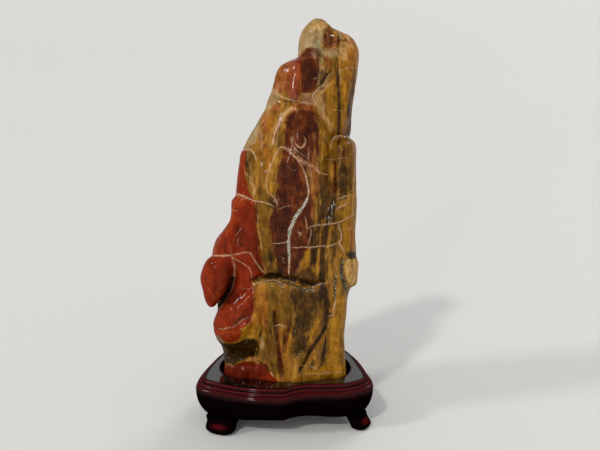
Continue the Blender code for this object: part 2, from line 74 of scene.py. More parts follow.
# ---- Shader expressions --------------------------------------------------------
class Signal:
    """A socket that carries a number, with Python's operators as Math nodes."""

    def __init__(self, graph: "Graph", socket: bpy.types.NodeSocket) -> None:
        """Wraps one output socket of a graph."""
        self.graph = graph
        self.socket = socket

    def _pair(self, operation: str, first: object, second: object) -> "Signal":
        """The output of a Math node of two inputs, each a Signal or a number."""
        node = self.graph.add("ShaderNodeMath", {"operation": operation}, {0: first, 1: second})
        return Signal(self.graph, node.outputs[0])

    def __add__(self, other: object) -> "Signal":
        """self + other."""
        return self._pair("ADD", self, other)

    def __radd__(self, other: object) -> "Signal":
        """other + self."""
        return self._pair("ADD", other, self)

    def __sub__(self, other: object) -> "Signal":
        """self - other."""
        return self._pair("SUBTRACT", self, other)

    def __rsub__(self, other: object) -> "Signal":
        """other - self."""
        return self._pair("SUBTRACT", other, self)

    def __mul__(self, other: object) -> "Signal":
        """self * other."""
        return self._pair("MULTIPLY", self, other)

    def __rmul__(self, other: object) -> "Signal":
        """other * self."""
        return self._pair("MULTIPLY", other, self)

    def __abs__(self) -> "Signal":
        """abs(self)."""
        return self._pair("ABSOLUTE", self, 0.0)

    def at_most(self, other: object) -> "Signal":
        """The smaller of the two."""
        return self._pair("MINIMUM", self, other)

    def at_least(self, other: object) -> "Signal":
        """The larger of the two."""
        return self._pair("MAXIMUM", self, other)

    def rise(self, low: float, high: float) -> "Signal":
        """A smooth step from 0 at low to 1 at high; high may be the lower one.

        Args:
            low: Where the step leaves 0.
            high: Where the step reaches 1.

        Returns:
            The step, from 0 to 1.
        """
        settings = {"interpolation_type": "SMOOTHSTEP"}
        sockets = {0: self, 1: min(low, high), 2: max(low, high)}
        sockets |= {3: 0.0, 4: 1.0} if low < high else {3: 1.0, 4: 0.0}
        return Signal(self.graph, self.graph.add("ShaderNodeMapRange", settings, sockets).outputs[0])


class Graph:
    """The node tree of one material, with the calls that fill it."""

    def __init__(self, name: str) -> None:
        """Makes a material with a bare Principled shader.

        Args:
            name: The material's name.
        """
        self.material = bpy.data.materials.new(name)
        self.material.use_nodes = True
        self.tree = self.material.node_tree
        self.shader = self.tree.nodes["Principled BSDF"]

    def add(self, kind: str, settings: dict[str, object], sockets: dict[object, object]) -> bpy.types.Node:
        """Adds a node, sets it up, and fills its sockets.

        Args:
            kind: The node's type.
            settings: Its own settings by name, with a ramp's colours under stops.
            sockets: A Signal, a socket or a plain value by socket name or number.

        Returns:
            The node.
        """
        node = self.tree.nodes.new(kind)
        for key, value in settings.items():
            if key == "stops":
                self.fill_ramp(node.color_ramp.elements, value)
            else:
                setattr(node, key, value)
        for key, value in sockets.items():
            self.feed(node.inputs[key], value)
        return node

    def fill_ramp(self, points: bpy.types.ColorRampElements, stops: Stops) -> None:
        """Gives a ramp its stops.

        Args:
            points: The ramp's own stops.
            stops: Position and colour of each stop, in order.
        """
        while len(points) < len(stops):
            points.new(0.5)
        for point, (position, colour) in zip(points, stops):
            point.position = position
            point.color = (*colour, 1.0)

    def feed(self, socket: bpy.types.NodeSocket, value: object) -> None:
        """Links a Signal or a socket to a socket, or sets the socket's own value."""
        if isinstance(value, Signal):
            self.tree.links.new(value.socket, socket)
        elif isinstance(value, bpy.types.NodeSocket):
            self.tree.links.new(value, socket)
        elif isinstance(value, tuple) and len(value) == 3 and socket.type == "RGBA":
            socket.default_value = (*value, 1.0)
        else:
            socket.default_value = value

    def finish(self, **sockets: object) -> bpy.types.Material:
        """Fills the Principled shader's sockets, with spaces written as underscores.

        Args:
            sockets: Socket name to a Signal, a socket or a plain value.

        Returns:
            The material.
        """
        for key, value in sockets.items():
            self.feed(self.shader.inputs[key.replace("_", " ").title().replace("Ior", "IOR")], value)
        return self.material

    def place(self, stretch: tuple[float, float, float] = (1.0, 1.0, 1.0)) -> bpy.types.NodeSocket:
        """Object coordinates, stretched per axis.

        Args:
            stretch: What each axis is multiplied by.

        Returns:
            The vector socket.
        """
        where = self.add("ShaderNodeTexCoord", {}, {}).outputs["Object"]
        settings = {"operation": "MULTIPLY"}
        return self.add("ShaderNodeVectorMath", settings, {0: where, 1: stretch}).outputs[0]

    def noise(self, vector: bpy.types.NodeSocket, size_mm: float, detail: float = 3.0,
              rough: float = 0.55, warp: float = 0.0) -> Signal:
        """Solid noise from about 0 to 1.

        Args:
            vector: Where it is read.
            size_mm: The size of its largest lumps.
            detail: How many finer layers it has.
            rough: How strong those layers are.
            warp: How far the noise distorts itself.

        Returns:
            The noise.
        """
        sockets = {"Vector": vector, "Scale": 1000.0 / size_mm, "Detail": detail,
                   "Roughness": rough, "Distortion": warp}
        return Signal(self, self.add("ShaderNodeTexNoise", {}, sockets).outputs[0])

    def cells(self, vector: bpy.types.NodeSocket, size_mm: float) -> Signal:
        """Distance to the nearest of scattered points, in cell sizes."""
        sockets = {"Vector": vector, "Scale": 1000.0 / size_mm}
        return Signal(self, self.add("ShaderNodeTexVoronoi", {}, sockets).outputs["Distance"])

    def attribute(self, name: str) -> Signal:
        """A number stored on the mesh's points."""
        return Signal(self, self.add("ShaderNodeAttribute", {"attribute_name": name}, {}).outputs["Fac"])

    def triple(self, name: str) -> tuple[Signal, Signal, Signal]:
        """Three numbers stored together on the mesh's points."""
        vector = self.add("ShaderNodeAttribute", {"attribute_name": name}, {}).outputs["Vector"]
        split = self.add("ShaderNodeSeparateXYZ", {}, {0: vector})
        return tuple(Signal(self, output) for output in split.outputs)

    def blend(self, share: object, under: object, over: object, mode: str = "MIX") -> bpy.types.NodeSocket:
        """Two colours mixed.

        Args:
            share: How much of the second colour, from 0 to 1.
            under: The first colour.
            over: The second colour.
            mode: The Mix node's blend type.

        Returns:
            The colour socket.
        """
        settings = {"data_type": "RGBA", "blend_type": mode}
        sockets = {MIX_SHARE: share, MIX_UNDER: under, MIX_OVER: over}
        return self.add("ShaderNodeMix", settings, sockets).outputs[MIX_RESULT]

    def ramp(self, value: Signal, stops: Stops) -> bpy.types.NodeSocket:
        """The colour of a ramp at a number from 0 to 1."""
        return self.add("ShaderNodeValToRGB", {"stops": stops}, {0: value}).outputs[0]

    def bump(self, height: Signal, depth_mm: float, strength: float = 1.0) -> bpy.types.NodeSocket:
        """A normal from a height of 0 to 1 that stands depth_mm high."""
        sockets = {"Height": height, "Distance": depth_mm * MM, "Strength": strength}
        return self.add("ShaderNodeBump", {}, sockets).outputs[0]


def rgb(red: int, green: int, blue: int) -> Colour:
    """A colour of the shader from screen values of 0 to 255."""
    values = [c / 255 for c in (red, green, blue)]
    return tuple(c / 12.92 if c <= 0.04045 else ((c + 0.055) / 1.055) ** 2.4 for c in values)


def placed(name: str, data: bpy.types.ID) -> bpy.types.Object:
    """A new object of some data, put in the scene."""
    made = bpy.data.objects.new(name, data)
    bpy.context.scene.collection.objects.link(made)
    return made


# ---- The sheet that the stone is painted on ------------------------------------
@dataclass(frozen=True)
class Sheet:
    """An upright plane through the stone, seen from the eye point."""

    eye: tuple[float, float, float] = (17.5, -922.0, 481.0)

    def project(self, points: np.ndarray) -> np.ndarray:
        """Sheet coordinates of points on the stone.

        Args:
            points: Rows of x, y and z in millimetres.

        Returns:
            Rows of across and up, in millimetres.
        """
        share = -self.eye[1] / (points[:, 1] - self.eye[1])
        across = self.eye[0] + (points[:, 0] - self.eye[0]) * share
        return np.stack([across, self.eye[2] + (points[:, 2] - self.eye[2]) * share], 1)


def along_runs(points: np.ndarray, path: Path) -> tuple[np.ndarray, np.ndarray, np.ndarray]:
    """Nearest place on a path of straight runs.

    Args:
        points: Rows of across and up.
        path: The path's corners.

    Returns:
        Distance, signed distance (positive on the path's left) and the share of the
        path's length at the nearest place.
    """
    corners = np.array(path, float)
    runs = np.diff(corners, axis=0)
    lengths = np.linalg.norm(runs, axis=1)
    before = np.concatenate([[0], np.cumsum(lengths)])
    nearest = np.full(len(points), np.inf)
    side = np.zeros(len(points))
    share = np.zeros(len(points))
    for k, run in enumerate(runs):
        off = points - corners[k]
        t = np.clip((off @ run) / (lengths[k] ** 2), 0, 1)
        gap = off - t[:, None] * run
        distance = np.linalg.norm(gap, axis=1)
        turn = np.sign(run[0] * off[:, 1] - run[1] * off[:, 0])
        closer = distance < nearest
        nearest = np.where(closer, distance, nearest)
        side = np.where(closer, turn * distance, side)
        share = np.where(closer, (before[k] + t * lengths[k]) / before[-1], share)
    return nearest, side, share


def spline(knots: Sequence[np.ndarray], t: float | np.ndarray) -> np.ndarray:
    """The smooth curve between the second and third of four knots.

    Args:
        knots: The four knots.
        t: How far along the curve, from 0 to 1; one value, or a column of them.

    Returns:
        The point, or one row per value.
    """
    a, b, c, d = knots
    curve = (c - a) * t + (2 * a - 5 * b + 4 * c - d) * t**2 + (3 * b - a - 3 * c + d) * t**3
    return b + 0.5 * curve


def smooth_path(path: Path, steps: int = 5) -> Path:
    """The same path with its corners rounded, through the same points."""
    knots = np.array([path[0], *path, path[-1]], float)
    shares = np.linspace(0, 1, steps, endpoint=False)
    runs = zip(knots, knots[1:], knots[2:], knots[3:])
    return (*(tuple(spline(run, t)) for run in runs for t in shares), tuple(path[-1]))


@dataclass(frozen=True)
class Patch:
    """An area of one pigment, by its outline."""

    outline: Path

    def field(self, points: np.ndarray) -> np.ndarray:
        """Millimetres inside the outline, and below zero outside it.

        Args:
            points: Rows of across and up.

        Returns:
            One number per point.
        """
        closed = smooth_path((*self.outline, self.outline[0]), 3)
        distance, _, _ = along_runs(points, closed)
        inside = np.zeros(len(points), bool)
        for (x0, z0), (x1, z1) in zip(closed, closed[1:]):
            crosses = (z0 > points[:, 1]) != (z1 > points[:, 1])
            rise = (z1 - z0) if z1 != z0 else 1.0
            inside ^= crosses & (points[:, 0] < (x1 - x0) * (points[:, 1] - z0) / rise + x0)
        return np.where(inside, distance, -distance)


@dataclass(frozen=True)
class Streak:
    """A band of one pigment along a path; the half widths are those of its start, middle and end."""

    path: Path
    half_widths: tuple[float, float, float] = (1.0, 1.0, 1.0)

    def field(self, points: np.ndarray) -> np.ndarray:
        """Millimetres inside the band at each point, and below zero outside it."""
        distance, _, share = along_runs(points, smooth_path(self.path))
        return np.interp(share, (0, 0.5, 1), self.half_widths) - distance


def inside_any(shapes: Sequence[Patch | Streak], points: np.ndarray) -> np.ndarray:
    """Millimetres inside any of some patches and streaks, and below zero outside them all."""
    return np.max([shape.field(points) for shape in shapes], axis=0)


@dataclass(frozen=True)
class Vein:
    """A thin mineral vein: path, half widths at start, middle and end, and how opaque it is."""

    path: Path
    half_widths: tuple[float, float, float] = (0.35, 0.5, 0.3)
    strength: float = 0.8


class Face(Enum):
    """Which faces of the stone a drawing belongs to."""

    FRONT = "front"
    BACK = "back"
    THROUGH = "through"


@dataclass(frozen=True)
class Pigment:
    """Patches and streaks of one colour, stored on the skin as one field."""

    name: str
    shapes: tuple[Patch | Streak, ...]
    face: Face = Face.FRONT
    reach: float = 14.0

    def paint(self, skin: "Skin") -> None:
        """Stores the field on the skin under the pigment's name.

        Args:
            skin: The skin to paint.
        """
        drawn = skin.drawn_through if self.face is Face.THROUGH else skin.drawn
        value = np.clip(inside_any(self.shapes, drawn), -self.reach, self.reach)
        if self.face is not Face.THROUGH:
            weight = skin.front if self.face is Face.FRONT else skin.back
            value = value * weight - self.reach * (1 - weight)
        skin.store(self.name, value)


@dataclass(frozen=True)
class Cleft:
    """A crack or crease pressed into the skin along a path, or a crest raised from it."""

    path: Path
    width: float
    depth: float

    def shape(self, points: np.ndarray, waver: float | np.ndarray = 0.0) -> np.ndarray:
        """Each point's share of the depth: 1 on the path, falling to almost 0 at twice its width."""
        near, _, _ = along_runs(points, smooth_path(self.path))
        return np.exp(-(((near + waver) / self.width) ** 2))


@dataclass(frozen=True)
class Swell:
    """A part of the skin that stands out or lies lower."""

    shape: Patch | Streak
    rise: float
    soft: float


def painted_group(skin: "Skin", name: str, veins: Sequence[Vein], face: Face) -> None:
    """Stores a group of veins that don't cross as one triple of fields.

    The first field changes sign across a vein, so that a vein thinner than the
    skin's mesh stays whole. The second is the plain distance, and the third the
    half width, which is negative where the drawing's face is turned away.

    Args:
        skin: The skin to paint.
        name: The attribute's name.
        veins: The veins.
        face: The face that they are drawn on.
    """
    nearest = np.full(len(skin.points), np.inf)
    signed = np.zeros(len(skin.points))
    width = np.zeros(len(skin.points))
    for vein in veins:
        distance, side, share = along_runs(skin.drawn, smooth_path(vein.path))
        closer = distance < nearest
        nearest = np.where(closer, distance, nearest)
        signed = np.where(closer, side, signed)
        fade = np.clip(np.minimum(share, 1 - share) * VEIN_TAPER, 0, 1)
        half = np.interp(share, (0, 0.5, 1), vein.half_widths) * vein.strength * (0.35 + 0.65 * fade)
        width = np.where(closer, half, width)
    weight = skin.front if face is Face.FRONT else skin.back
    width = width * weight - VEIN_AWAY * (1 - weight)
    fields = [np.clip(signed, -VEIN_REACH, VEIN_REACH), np.clip(nearest, 0, VEIN_REACH), width]
    skin.store_triple(name, np.stack(fields, 1))


# ---- The drawing: pigments of the front, with painted shade and highlights among them ---
RED = Pigment("red", (
    Patch(((-110, 320), (-46, 314), (-42.5, 307), (-41.5, 297), (-44, 288), (-42.5, 280), (-40.5, 270),
           (-37, 261), (-33.5, 255), (-31.5, 243), (-31, 230), (-30, 217), (-29, 204), (-27.5, 190),
           (-25, 178), (-22, 169), (-31, 165), (-38, 159), (-37, 154), (-34, 150), (-36, 140), (-36, 128),
           (-39, 117), (-43, 108), (-50, 102), (-52, 93), (-56, 87), (-66, 84.5), (-74, 88), (-79, 93),
           (-110, 96))),
    Patch(((-110, 56), (-70, 57), (-62, 54), (-56, 58), (-46, 61), (-36, 60), (-30, 57), (-24, 56),
           (-20, 51), (-16, 44), (-14, 30), (-110, 30))),
), Face.THROUGH, 20.0)

WINE = Pigment("wine", (
    Patch(((-58, 226), (-50, 232), (-40, 228), (-36, 210), (-38, 198), (-48, 198), (-56, 202), (-60, 212))),
    Patch(((-76, 172), (-66, 178), (-62, 166), (-66, 152), (-78, 140), (-84, 148), (-80, 160))),
    Patch(((-68, 130), (-58, 134), (-46, 130), (-42, 118), (-50, 112), (-60, 110), (-66, 118))),
    Patch(((-110, 54), (-66, 52), (-54, 54), (-46, 50), (-50, 42), (-110, 36))),
    Streak(((-35, 246), (-34, 226), (-33, 206), (-30, 188), (-26, 174)), (1.6, 2.4, 2.0)),
))

# Bright orange-red. The streak along the lower lobe's ridge, the streak down the round lobe's left side and
# the patch on the second peak's crest are painted highlights.
BLAZE_AND_HIGHLIGHT = Pigment("blaze", (
    Patch(((-58, 262), (-50, 262), (-44, 258), (-42, 250), (-50, 246), (-57, 248))),
    Streak(((-56, 244), (-60, 230), (-70, 217), (-77, 204), (-79, 196)), (3.0, 4.0, 2.4)),
    Patch(((-78, 102), (-68, 103), (-58, 102), (-52, 97), (-54, 90), (-64, 87), (-73, 90), (-79, 95))),
    Streak(((-58, 105), (-52, 110), (-46, 114), (-40, 115)), (1.6, 2.4, 1.2)),
    Streak(((-84, 180), (-88, 166), (-86, 152), (-82, 140)), (1.4, 2.4, 1.4)),
    Patch(((-50, 304), (-45, 308), (-42.5, 300), (-43.5, 288), (-46, 278), (-54, 276), (-54, 290))),
    Patch(((8, 411), (16, 415), (18.5, 398), (19, 376), (9, 370), (6, 388))),
))

AMBER = Pigment("amber", (
    Patch(((-38, 152), (-29, 154), (-25, 140), (-24, 124), (-22, 112), (-29, 105), (-38, 106), (-45, 111),
           (-40, 124), (-37, 138))),
    Patch(((-26, 350), (-18, 356), (-10, 352), (-11, 343), (-15, 334), (-18, 330), (-23, 338))),
    Patch(((14, 366), (22, 364), (27, 357), (22, 350), (12, 352), (8, 358))),
    Patch(((28, 300), (33, 296), (37, 286), (38, 270), (36, 262), (31, 258), (29, 266), (32, 278),
           (29, 290))),
    Patch(((7, 216), (12, 219), (17, 214), (16, 208), (9, 207))),
    Patch(((69, 424), (76, 422), (79, 412), (74, 403), (68, 408), (67, 416))),
    Streak(((64, 436), (71, 431), (76, 422)), (1.0, 2.4, 1.2)),
    Streak(((70, 402), (67, 385), (68, 365)), (1.6, 2.6, 1.2)),
    Streak(((-1, 62), (1.5, 75), (5.5, 90)), (1.2, 1.8, 1.2)),
    Streak(((74, 238), (75, 220), (76, 202)), (1.2, 2.6, 2.4)),
    Streak(((-24, 146), (-23, 128), (-24, 112)), (1.6, 2.4, 1.4)),
    Streak(((-28, 158), (-27, 150), (-26, 142)), (1.6, 2.4, 1.6)),
    Streak(((-24, 322), (-19, 310), (-17, 296), (-20, 284)), (1.6, 3.0, 1.8)),
    Streak(((-8, 400), (-2, 398), (1, 390)), (2.0, 3.2, 2.0)),
))

GOLD = Pigment("gold", (
    Patch(((62, 243), (80, 247), (84, 196), (72, 195), (66, 202), (66, 216), (65, 228))),
    Patch(((52, 140), (58, 143), (72, 140), (72, 100), (74, 60), (74, 40), (23, 43), (30, 53), (40, 56),
           (49, 68), (52, 92), (51, 120))),
    Patch(((40, 384), (48, 386), (56, 396), (57.5, 350), (54, 330), (51, 310), (50, 300), (46, 310),
           (40, 318), (38, 334), (44, 348), (47, 364))),
    Patch(((61, 404), (72, 402), (70, 384), (69, 360), (62, 352), (62, 380))),
    Patch(((18, 166), (18, 178), (22, 192), (26, 200), (29.5, 196), (29.5, 180), (28, 170))),
    Streak(((53, 300), (53, 282), (52, 264), (51, 256)), (1.6, 2.4, 0.8)),
    Streak(((48.5, 246), (46.5, 230), (43, 216), (40, 202), (37.5, 186), (36, 168)), (1.2, 1.9, 1.7)),
    Streak(((35, 262), (34, 246), (32, 228), (34.5, 208), (33.5, 192), (33, 178)), (1.1, 1.5, 1.0)),
    Streak(((40, 118), (36, 106), (31, 94), (27, 84)), (2.6, 3.4, 1.8)),
    Streak(((43.5, 146), (43.5, 132), (44, 118)), (1.2, 1.6, 0.8)),
    Streak(((77.5, 322), (77, 296), (77.5, 270), (78, 248)), (1.0, 1.8, 2.4)),
    Streak(((-27, 250), (-26, 232), (-24, 214), (-19, 198)), (1.2, 1.8, 1.4)),
    Streak(((-12, 166), (-14, 184), (-20, 198)), (1.0, 1.6, 0.8)),
    Patch(((-10, 276), (-15, 275), (-16, 268), (-12, 263), (-8, 266))),
    Patch(((60, 196), (64, 198), (66, 190), (62, 186))),
    Streak(((-1, 58), (2, 74), (6, 88), (8, 98)), (1.0, 1.9, 1.0)),
    Streak(((-20, 84), (-22, 68), (-20, 54)), (2.0, 3.0, 2.0)),
    Streak(((56, 396), (57, 372), (56.5, 345)), (1.6, 2.4, 1.6)),
    Patch(((60, 424), (68, 424), (72, 412), (66, 402), (59, 404), (58, 416))),
    Patch(((-52, 101), (-46, 106), (-36, 107), (-29, 104), (-28, 96), (-32, 91), (-44, 90), (-51, 94))),
))

OLIVE = Pigment("olive", (
    Patch(((-31, 266), (-22, 271), (-14, 256), (-15, 238), (-16, 224), (-13, 206), (-11, 190), (-10, 168),
           (-22, 170), (-26, 186), (-29, 206), (-31, 232))),
    Patch(((-27, 128), (-22, 148), (-14, 158), (2, 152), (6, 138), (10, 122), (9, 104), (2, 104),
           (-10, 106), (-18, 96), (-25, 104))),
    Patch(((12, 132), (22, 126), (32, 130), (36, 150), (44, 154), (44, 118), (37, 122), (30, 108),
           (12, 104), (10, 118))),
    Patch(((40, 300), (48, 309), (53, 300), (49, 284), (53, 266), (38, 262), (38, 282), (37, 294))),
    Patch(((50, 248), (60, 244), (65, 232), (60, 212), (61, 200), (52, 190), (50, 168), (44, 168),
           (50, 196), (51, 220), (46, 232))),
    Patch(((-27, 92), (-16, 90), (-8, 94), (-10, 70), (-9, 46), (-22, 44), (-28, 58))),
    Patch(((-42, 304), (-36, 309), (-31, 304), (-31, 292), (-37, 290), (-42, 296))),
    Patch(((30, 437), (42, 436), (43, 428), (38, 423), (31, 424))),
    Streak(((67, 326), (70, 308), (72, 286), (73, 268)), (1.4, 3.2, 2.6)),
    Streak(((-4, 340), (-5, 328), (-3, 318)), (1.6, 2.4, 1.6)),
    Streak(((59, 438), (64, 430), (66, 424)), (1.2, 2.4, 1.6)),
    Streak(((43, 96), (47, 86), (46, 72), (44, 58)), (1.0, 2.2, 2.6)),
    Patch(((8, 90), (20, 96), (26, 84), (22, 70), (10, 66), (4, 76))),
))

BROWN = Pigment("brown", (
    Patch(((58, 326), (70, 326), (76, 318), (75, 290), (72, 268), (66, 258), (58, 262), (57, 290))),
    Patch(((38, 282), (50, 284), (51, 266), (40, 264))),
    Patch(((7, 236), (18, 240), (24, 230), (25, 214), (22, 204), (8, 206), (9, 222))),
    Patch(((-6, 154), (8, 150), (22, 148), (34, 146), (36, 134), (26, 126), (12, 130), (6, 140),
           (-4, 142))),
    Streak(((-31, 252), (-32, 232), (-31, 212), (-28, 194)), (1.2, 1.4, 1.6)),
    Streak(((-17, 232), (-14, 214), (-12, 196), (-12, 180)), (1.0, 2.0, 2.2)),
    Streak(((34, 346), (35, 330), (35, 316), (33, 304)), (2.0, 2.6, 1.6)),
    Streak(((-21, 132), (-20, 112), (-21, 96)), (0.8, 1.6, 1.0)),
    Streak(((36, 188), (32, 176), (31, 166)), (1.0, 1.6, 1.4)),
    Streak(((-26, 366), (-33, 352), (-40, 336)), (0.6, 1.4, 0.6)),
    Streak(((-18, 372), (-25, 356), (-33, 340)), (0.5, 1.0, 0.5)),
    Streak(((56, 438), (58.5, 430), (58, 424)), (1.4, 2.4, 1.6)),
    Patch(((24, 430), (29, 434), (31, 428), (27, 424))),
    Streak(((40, 402), (41.5, 394), (39, 386)), (1.6, 2.6, 1.4)),
    Streak(((70, 322), (69, 300), (68, 276)), (1.0, 2.0, 1.6)),
    Streak(((-38, 300), (-36, 282), (-32, 262)), (1.0, 1.8, 1.2)),
    Streak(((-30, 330), (-26, 318), (-28, 304)), (1.0, 2.0, 1.2)),
    Streak(((46, 340), (47, 326), (46, 312)), (0.8, 1.6, 1.0)),
    Patch(((10, 146), (30, 146), (30, 134), (20, 128), (10, 134))),
))

KHAKI = Pigment("khaki", (
    Patch(((10, 470), (60, 455), (54, 446), (46, 445), (43, 436), (42, 424), (30, 421.5), (10, 412))),
    Patch(((-46, 314), (-40, 326), (-30, 346), (-18, 370), (-12, 380), (-4, 374), (-12, 362), (-20, 348),
           (-27, 334), (-32, 322), (-38, 316))),
    Patch(((57, 442), (66, 438), (64, 432), (58, 434))),
    Patch(((38, 422), (48, 420), (57, 420), (58, 414), (46, 412), (39, 404), (37, 412))),
))

# Light yellowish brown; one streak is a painted highlight.
TAN_AND_HIGHLIGHT = Pigment("tan", (
    Patch(((60, 429), (68, 428), (72, 418), (69, 410), (62, 411), (59, 420))),
    Patch(((31, 373), (35, 378), (41, 382), (48, 387), (51, 384), (44, 378), (41, 371), (45, 362),
           (44, 352), (50, 346), (54, 334), (52, 330), (46, 342), (38, 352), (36, 360), (33, 366))),
    Streak(((-45, 289), (-39, 283), (-34.5, 273), (-34, 264)), (1.0, 2.2, 1.6)),
    Streak(((-41, 302), (-38, 292), (-35, 282)), (0.8, 1.6, 1.0)),
    Patch(((38, 404), (45, 402), (42, 392), (37, 382), (36, 394))),
    Streak(((60, 318), (60.4, 290), (60, 262)), (0.5, 0.9, 0.6)),
    Streak(((53.6, 440), (54, 432), (53, 425)), (0.5, 0.9, 0.6)),
    Streak(((66, 260), (67.5, 250), (67, 240)), (0.4, 0.7, 0.4)),
    Streak(((-30, 240), (-29.5, 222), (-26, 200)), (0.4, 0.7, 0.5)),
    Streak(((-29, 94), (-27, 84), (-30, 74), (-36, 66)), (1.2, 2.0, 1.0)),
    Streak(((-21, 172), (-24, 178), (-30, 186)), (0.8, 1.4, 0.8)),
    Streak(((22, 44.6), (46, 45.6), (70, 47)), (0.8, 1.0, 0.9)),
    # Painted highlight: this streak lightens the ridge down the main lobe's upper left shoulder.
    Streak(((-12, 320), (-10.5, 332), (-6, 343), (1, 352), (9, 358)), (1.4, 2.8, 1.6)),
    Streak(((20, 436), (19.5, 428), (20, 420)), (0.6, 1.2, 0.8)),
    Patch(((32, 449), (44, 449), (46, 443), (36, 441), (30, 444))),
    Streak(((57, 441), (66, 436), (74, 427), (77.5, 416), (79, 404)), (1.4, 3.4, 2.4)),
    Streak(((62, 420), (68, 416), (72, 408)), (1.0, 2.6, 1.4)),
    Streak(((60, 408), (60, 396), (61, 384)), (0.6, 1.0, 0.5)),
))

# Dark red. The patch along the foot is painted shade, where the stand's shadow darkens the red, and so is
# the patch in the crease beside the lobe's cleft.
CRIMSON_AND_SHADE = Pigment("crimson", (
    Patch(((-110, 56), (-70, 57), (-58, 54), (-46, 59), (-34, 58), (-24, 54), (-20, 48), (-30, 40),
           (-110, 34))),
    Patch(((-62, 150), (-54, 146), (-50, 138), (-60, 132), (-68, 138))),
    Streak(((-84, 184), (-80, 172), (-79, 158), (-80, 144)), (1.4, 2.4, 1.4)),
    Streak(((-32.5, 250), (-32, 228), (-31, 206), (-28, 186), (-24, 172)), (0.8, 1.4, 1.0)),
    Streak(((-66, 210), (-68, 202), (-66, 196)), (1.0, 2.0, 1.0)),
    Patch(((-56, 222), (-48, 226), (-44, 214), (-50, 204), (-56, 210))),
    Streak(((-36, 150), (-38, 134), (-40, 120)), (1.0, 2.0, 1.4)),
    Streak(((-48, 306), (-50, 290), (-52, 274)), (0.6, 1.2, 0.8)),
))

RUST = Pigment("rust", (
    Patch(((-12, 382), (-9, 392), (-4, 402), (4, 409), (15, 414), (19, 402), (18, 388), (17, 366),
           (8, 366), (3, 374), (-6, 376))),
    Patch(((20, 336), (33, 336), (37, 318), (36, 300), (30, 290), (24, 294), (14, 310), (12, 322))),
    Patch(((9, 359), (20, 367), (33, 361), (37, 348), (30, 352), (18, 356))),
    Patch(((-14, 361), (-8, 364), (-3, 360), (-5, 354), (-12, 353))),
    Patch(((27, 262), (33, 262), (34, 240), (30, 226), (24, 230), (24, 246))),
    Streak(((44, 412), (47, 408), (48, 402)), (1.0, 1.8, 0.8)),
    Patch(((43.5, 441), (49, 442.5), (55, 437), (57.5, 428), (54, 422.5), (45, 422.5), (42.5, 431))),
    Streak(((-10, 118), (-9.5, 98), (-7, 80), (-4.5, 62), (-4, 42)), (0.8, 2.4, 3.0)),
    Streak(((-24, 60), (-22, 52), (-18, 44)), (1.2, 1.8, 1.4)),
    Streak(((34, 286), (35, 272), (34, 258)), (1.2, 1.8, 1.2)),
    Streak(((-22, 340), (-20, 334), (-19, 328)), (1.6, 2.4, 1.0)),
    Streak(((-27, 124), (-23.5, 112), (-22, 98)), (0.8, 1.4, 0.8)),
    Streak(((4, 103), (1, 92), (-1, 80), (-2, 68)), (2.2, 2.4, 1.4)),
))

MAROON = Pigment("maroon", (
    Patch(((19, 419), (27, 423), (35, 420), (38, 410), (37.5, 398), (36, 386), (33, 376), (20.5, 375),
           (18, 384), (17, 396), (16, 408))),
    Patch(((3, 350), (10, 356), (20, 357), (30, 355), (35, 348), (35, 338), (33, 326), (32, 312),
           (30, 300), (24, 291), (26, 280), (28.5, 270), (30, 260), (32, 250), (30, 238), (32, 226),
           (30, 214), (29, 203), (24, 196), (19, 184), (16, 174), (14, 168), (4, 167), (-6, 169),
           (-9, 180), (-11, 192), (-13, 206), (-15, 217), (-17, 227), (-17.5, 237), (-14, 246),
           (-15, 256), (-9, 266), (-7.5, 283), (-6.5, 296), (-2, 304), (-0.5, 318), (0.5, 330),
           (1.5, 342))),
    Streak(((56, 298), (56.5, 276), (55.5, 258), (55, 246)), (1.4, 1.8, 2.4)),
    Streak(((30.5, 196), (31, 182), (31, 168)), (1.4, 1.6, 1.2)),
    Streak(((28.5, 232), (29.5, 216), (31, 202)), (2.2, 3.0, 2.0)),
    Streak(((-12.5, 124), (-12.5, 116), (-10.5, 100), (-8.5, 84), (-6, 64), (-6, 42)), (1.6, 1.4, 1.7)),
    Streak(((3.5, 101), (1, 92), (-0.5, 84)), (1.7, 1.3, 0.8)),
    Streak(((44.6, 440), (44.4, 432), (45, 424)), (1.0, 1.8, 1.4)),
    Streak(((36, 350), (37, 336), (36.5, 318), (34, 304)), (1.0, 1.6, 1.0)),
    Streak(((74, 388), (73, 372), (71.5, 356), (72, 336)), (0.8, 1.7, 1.4)),
))

DUSK = Pigment("dusk", (
    Streak(((20, 213), (20, 201), (19, 191)), (2.6, 3.6, 2.0)),
    Patch(((-6, 296), (2, 302), (8, 298), (11, 287), (8, 277), (9, 266), (4, 256), (6, 248), (8, 238),
           (4, 224), (0, 206), (-8, 204), (-14, 224), (-15, 240), (-10, 254), (-6, 270))),
    Patch(((21, 405), (30, 408), (36, 400), (35, 386), (31, 378), (21, 378), (20, 390))),
    Patch(((6, 348), (14, 352), (20, 344), (16, 334), (6, 336), (3, 342))),
    Patch(((23, 344), (31, 346), (32, 334), (28, 328), (23, 334))),
    Streak(((2, 212), (3, 196), (1, 182), (-2, 171)), (4.0, 4.6, 3.0)),
    Streak(((10, 190), (12, 178), (10, 169)), (1.6, 2.6, 2.0)),
    Patch(((26, 222), (32, 224), (36, 214), (33, 204), (27, 206))),
    Streak(((-9, 244), (-12, 226), (-11, 206), (-8, 186)), (1.6, 3.0, 1.4)),
    Streak(((33, 344), (34, 328), (33, 314)), (1.6, 2.2, 1.4)),
    Streak(((50.5, 441), (50.5, 432), (49, 424)), (1.6, 2.8, 2.0)),
    Patch(((30, 421), (36, 422), (38, 414), (34, 410), (30, 414))),
))

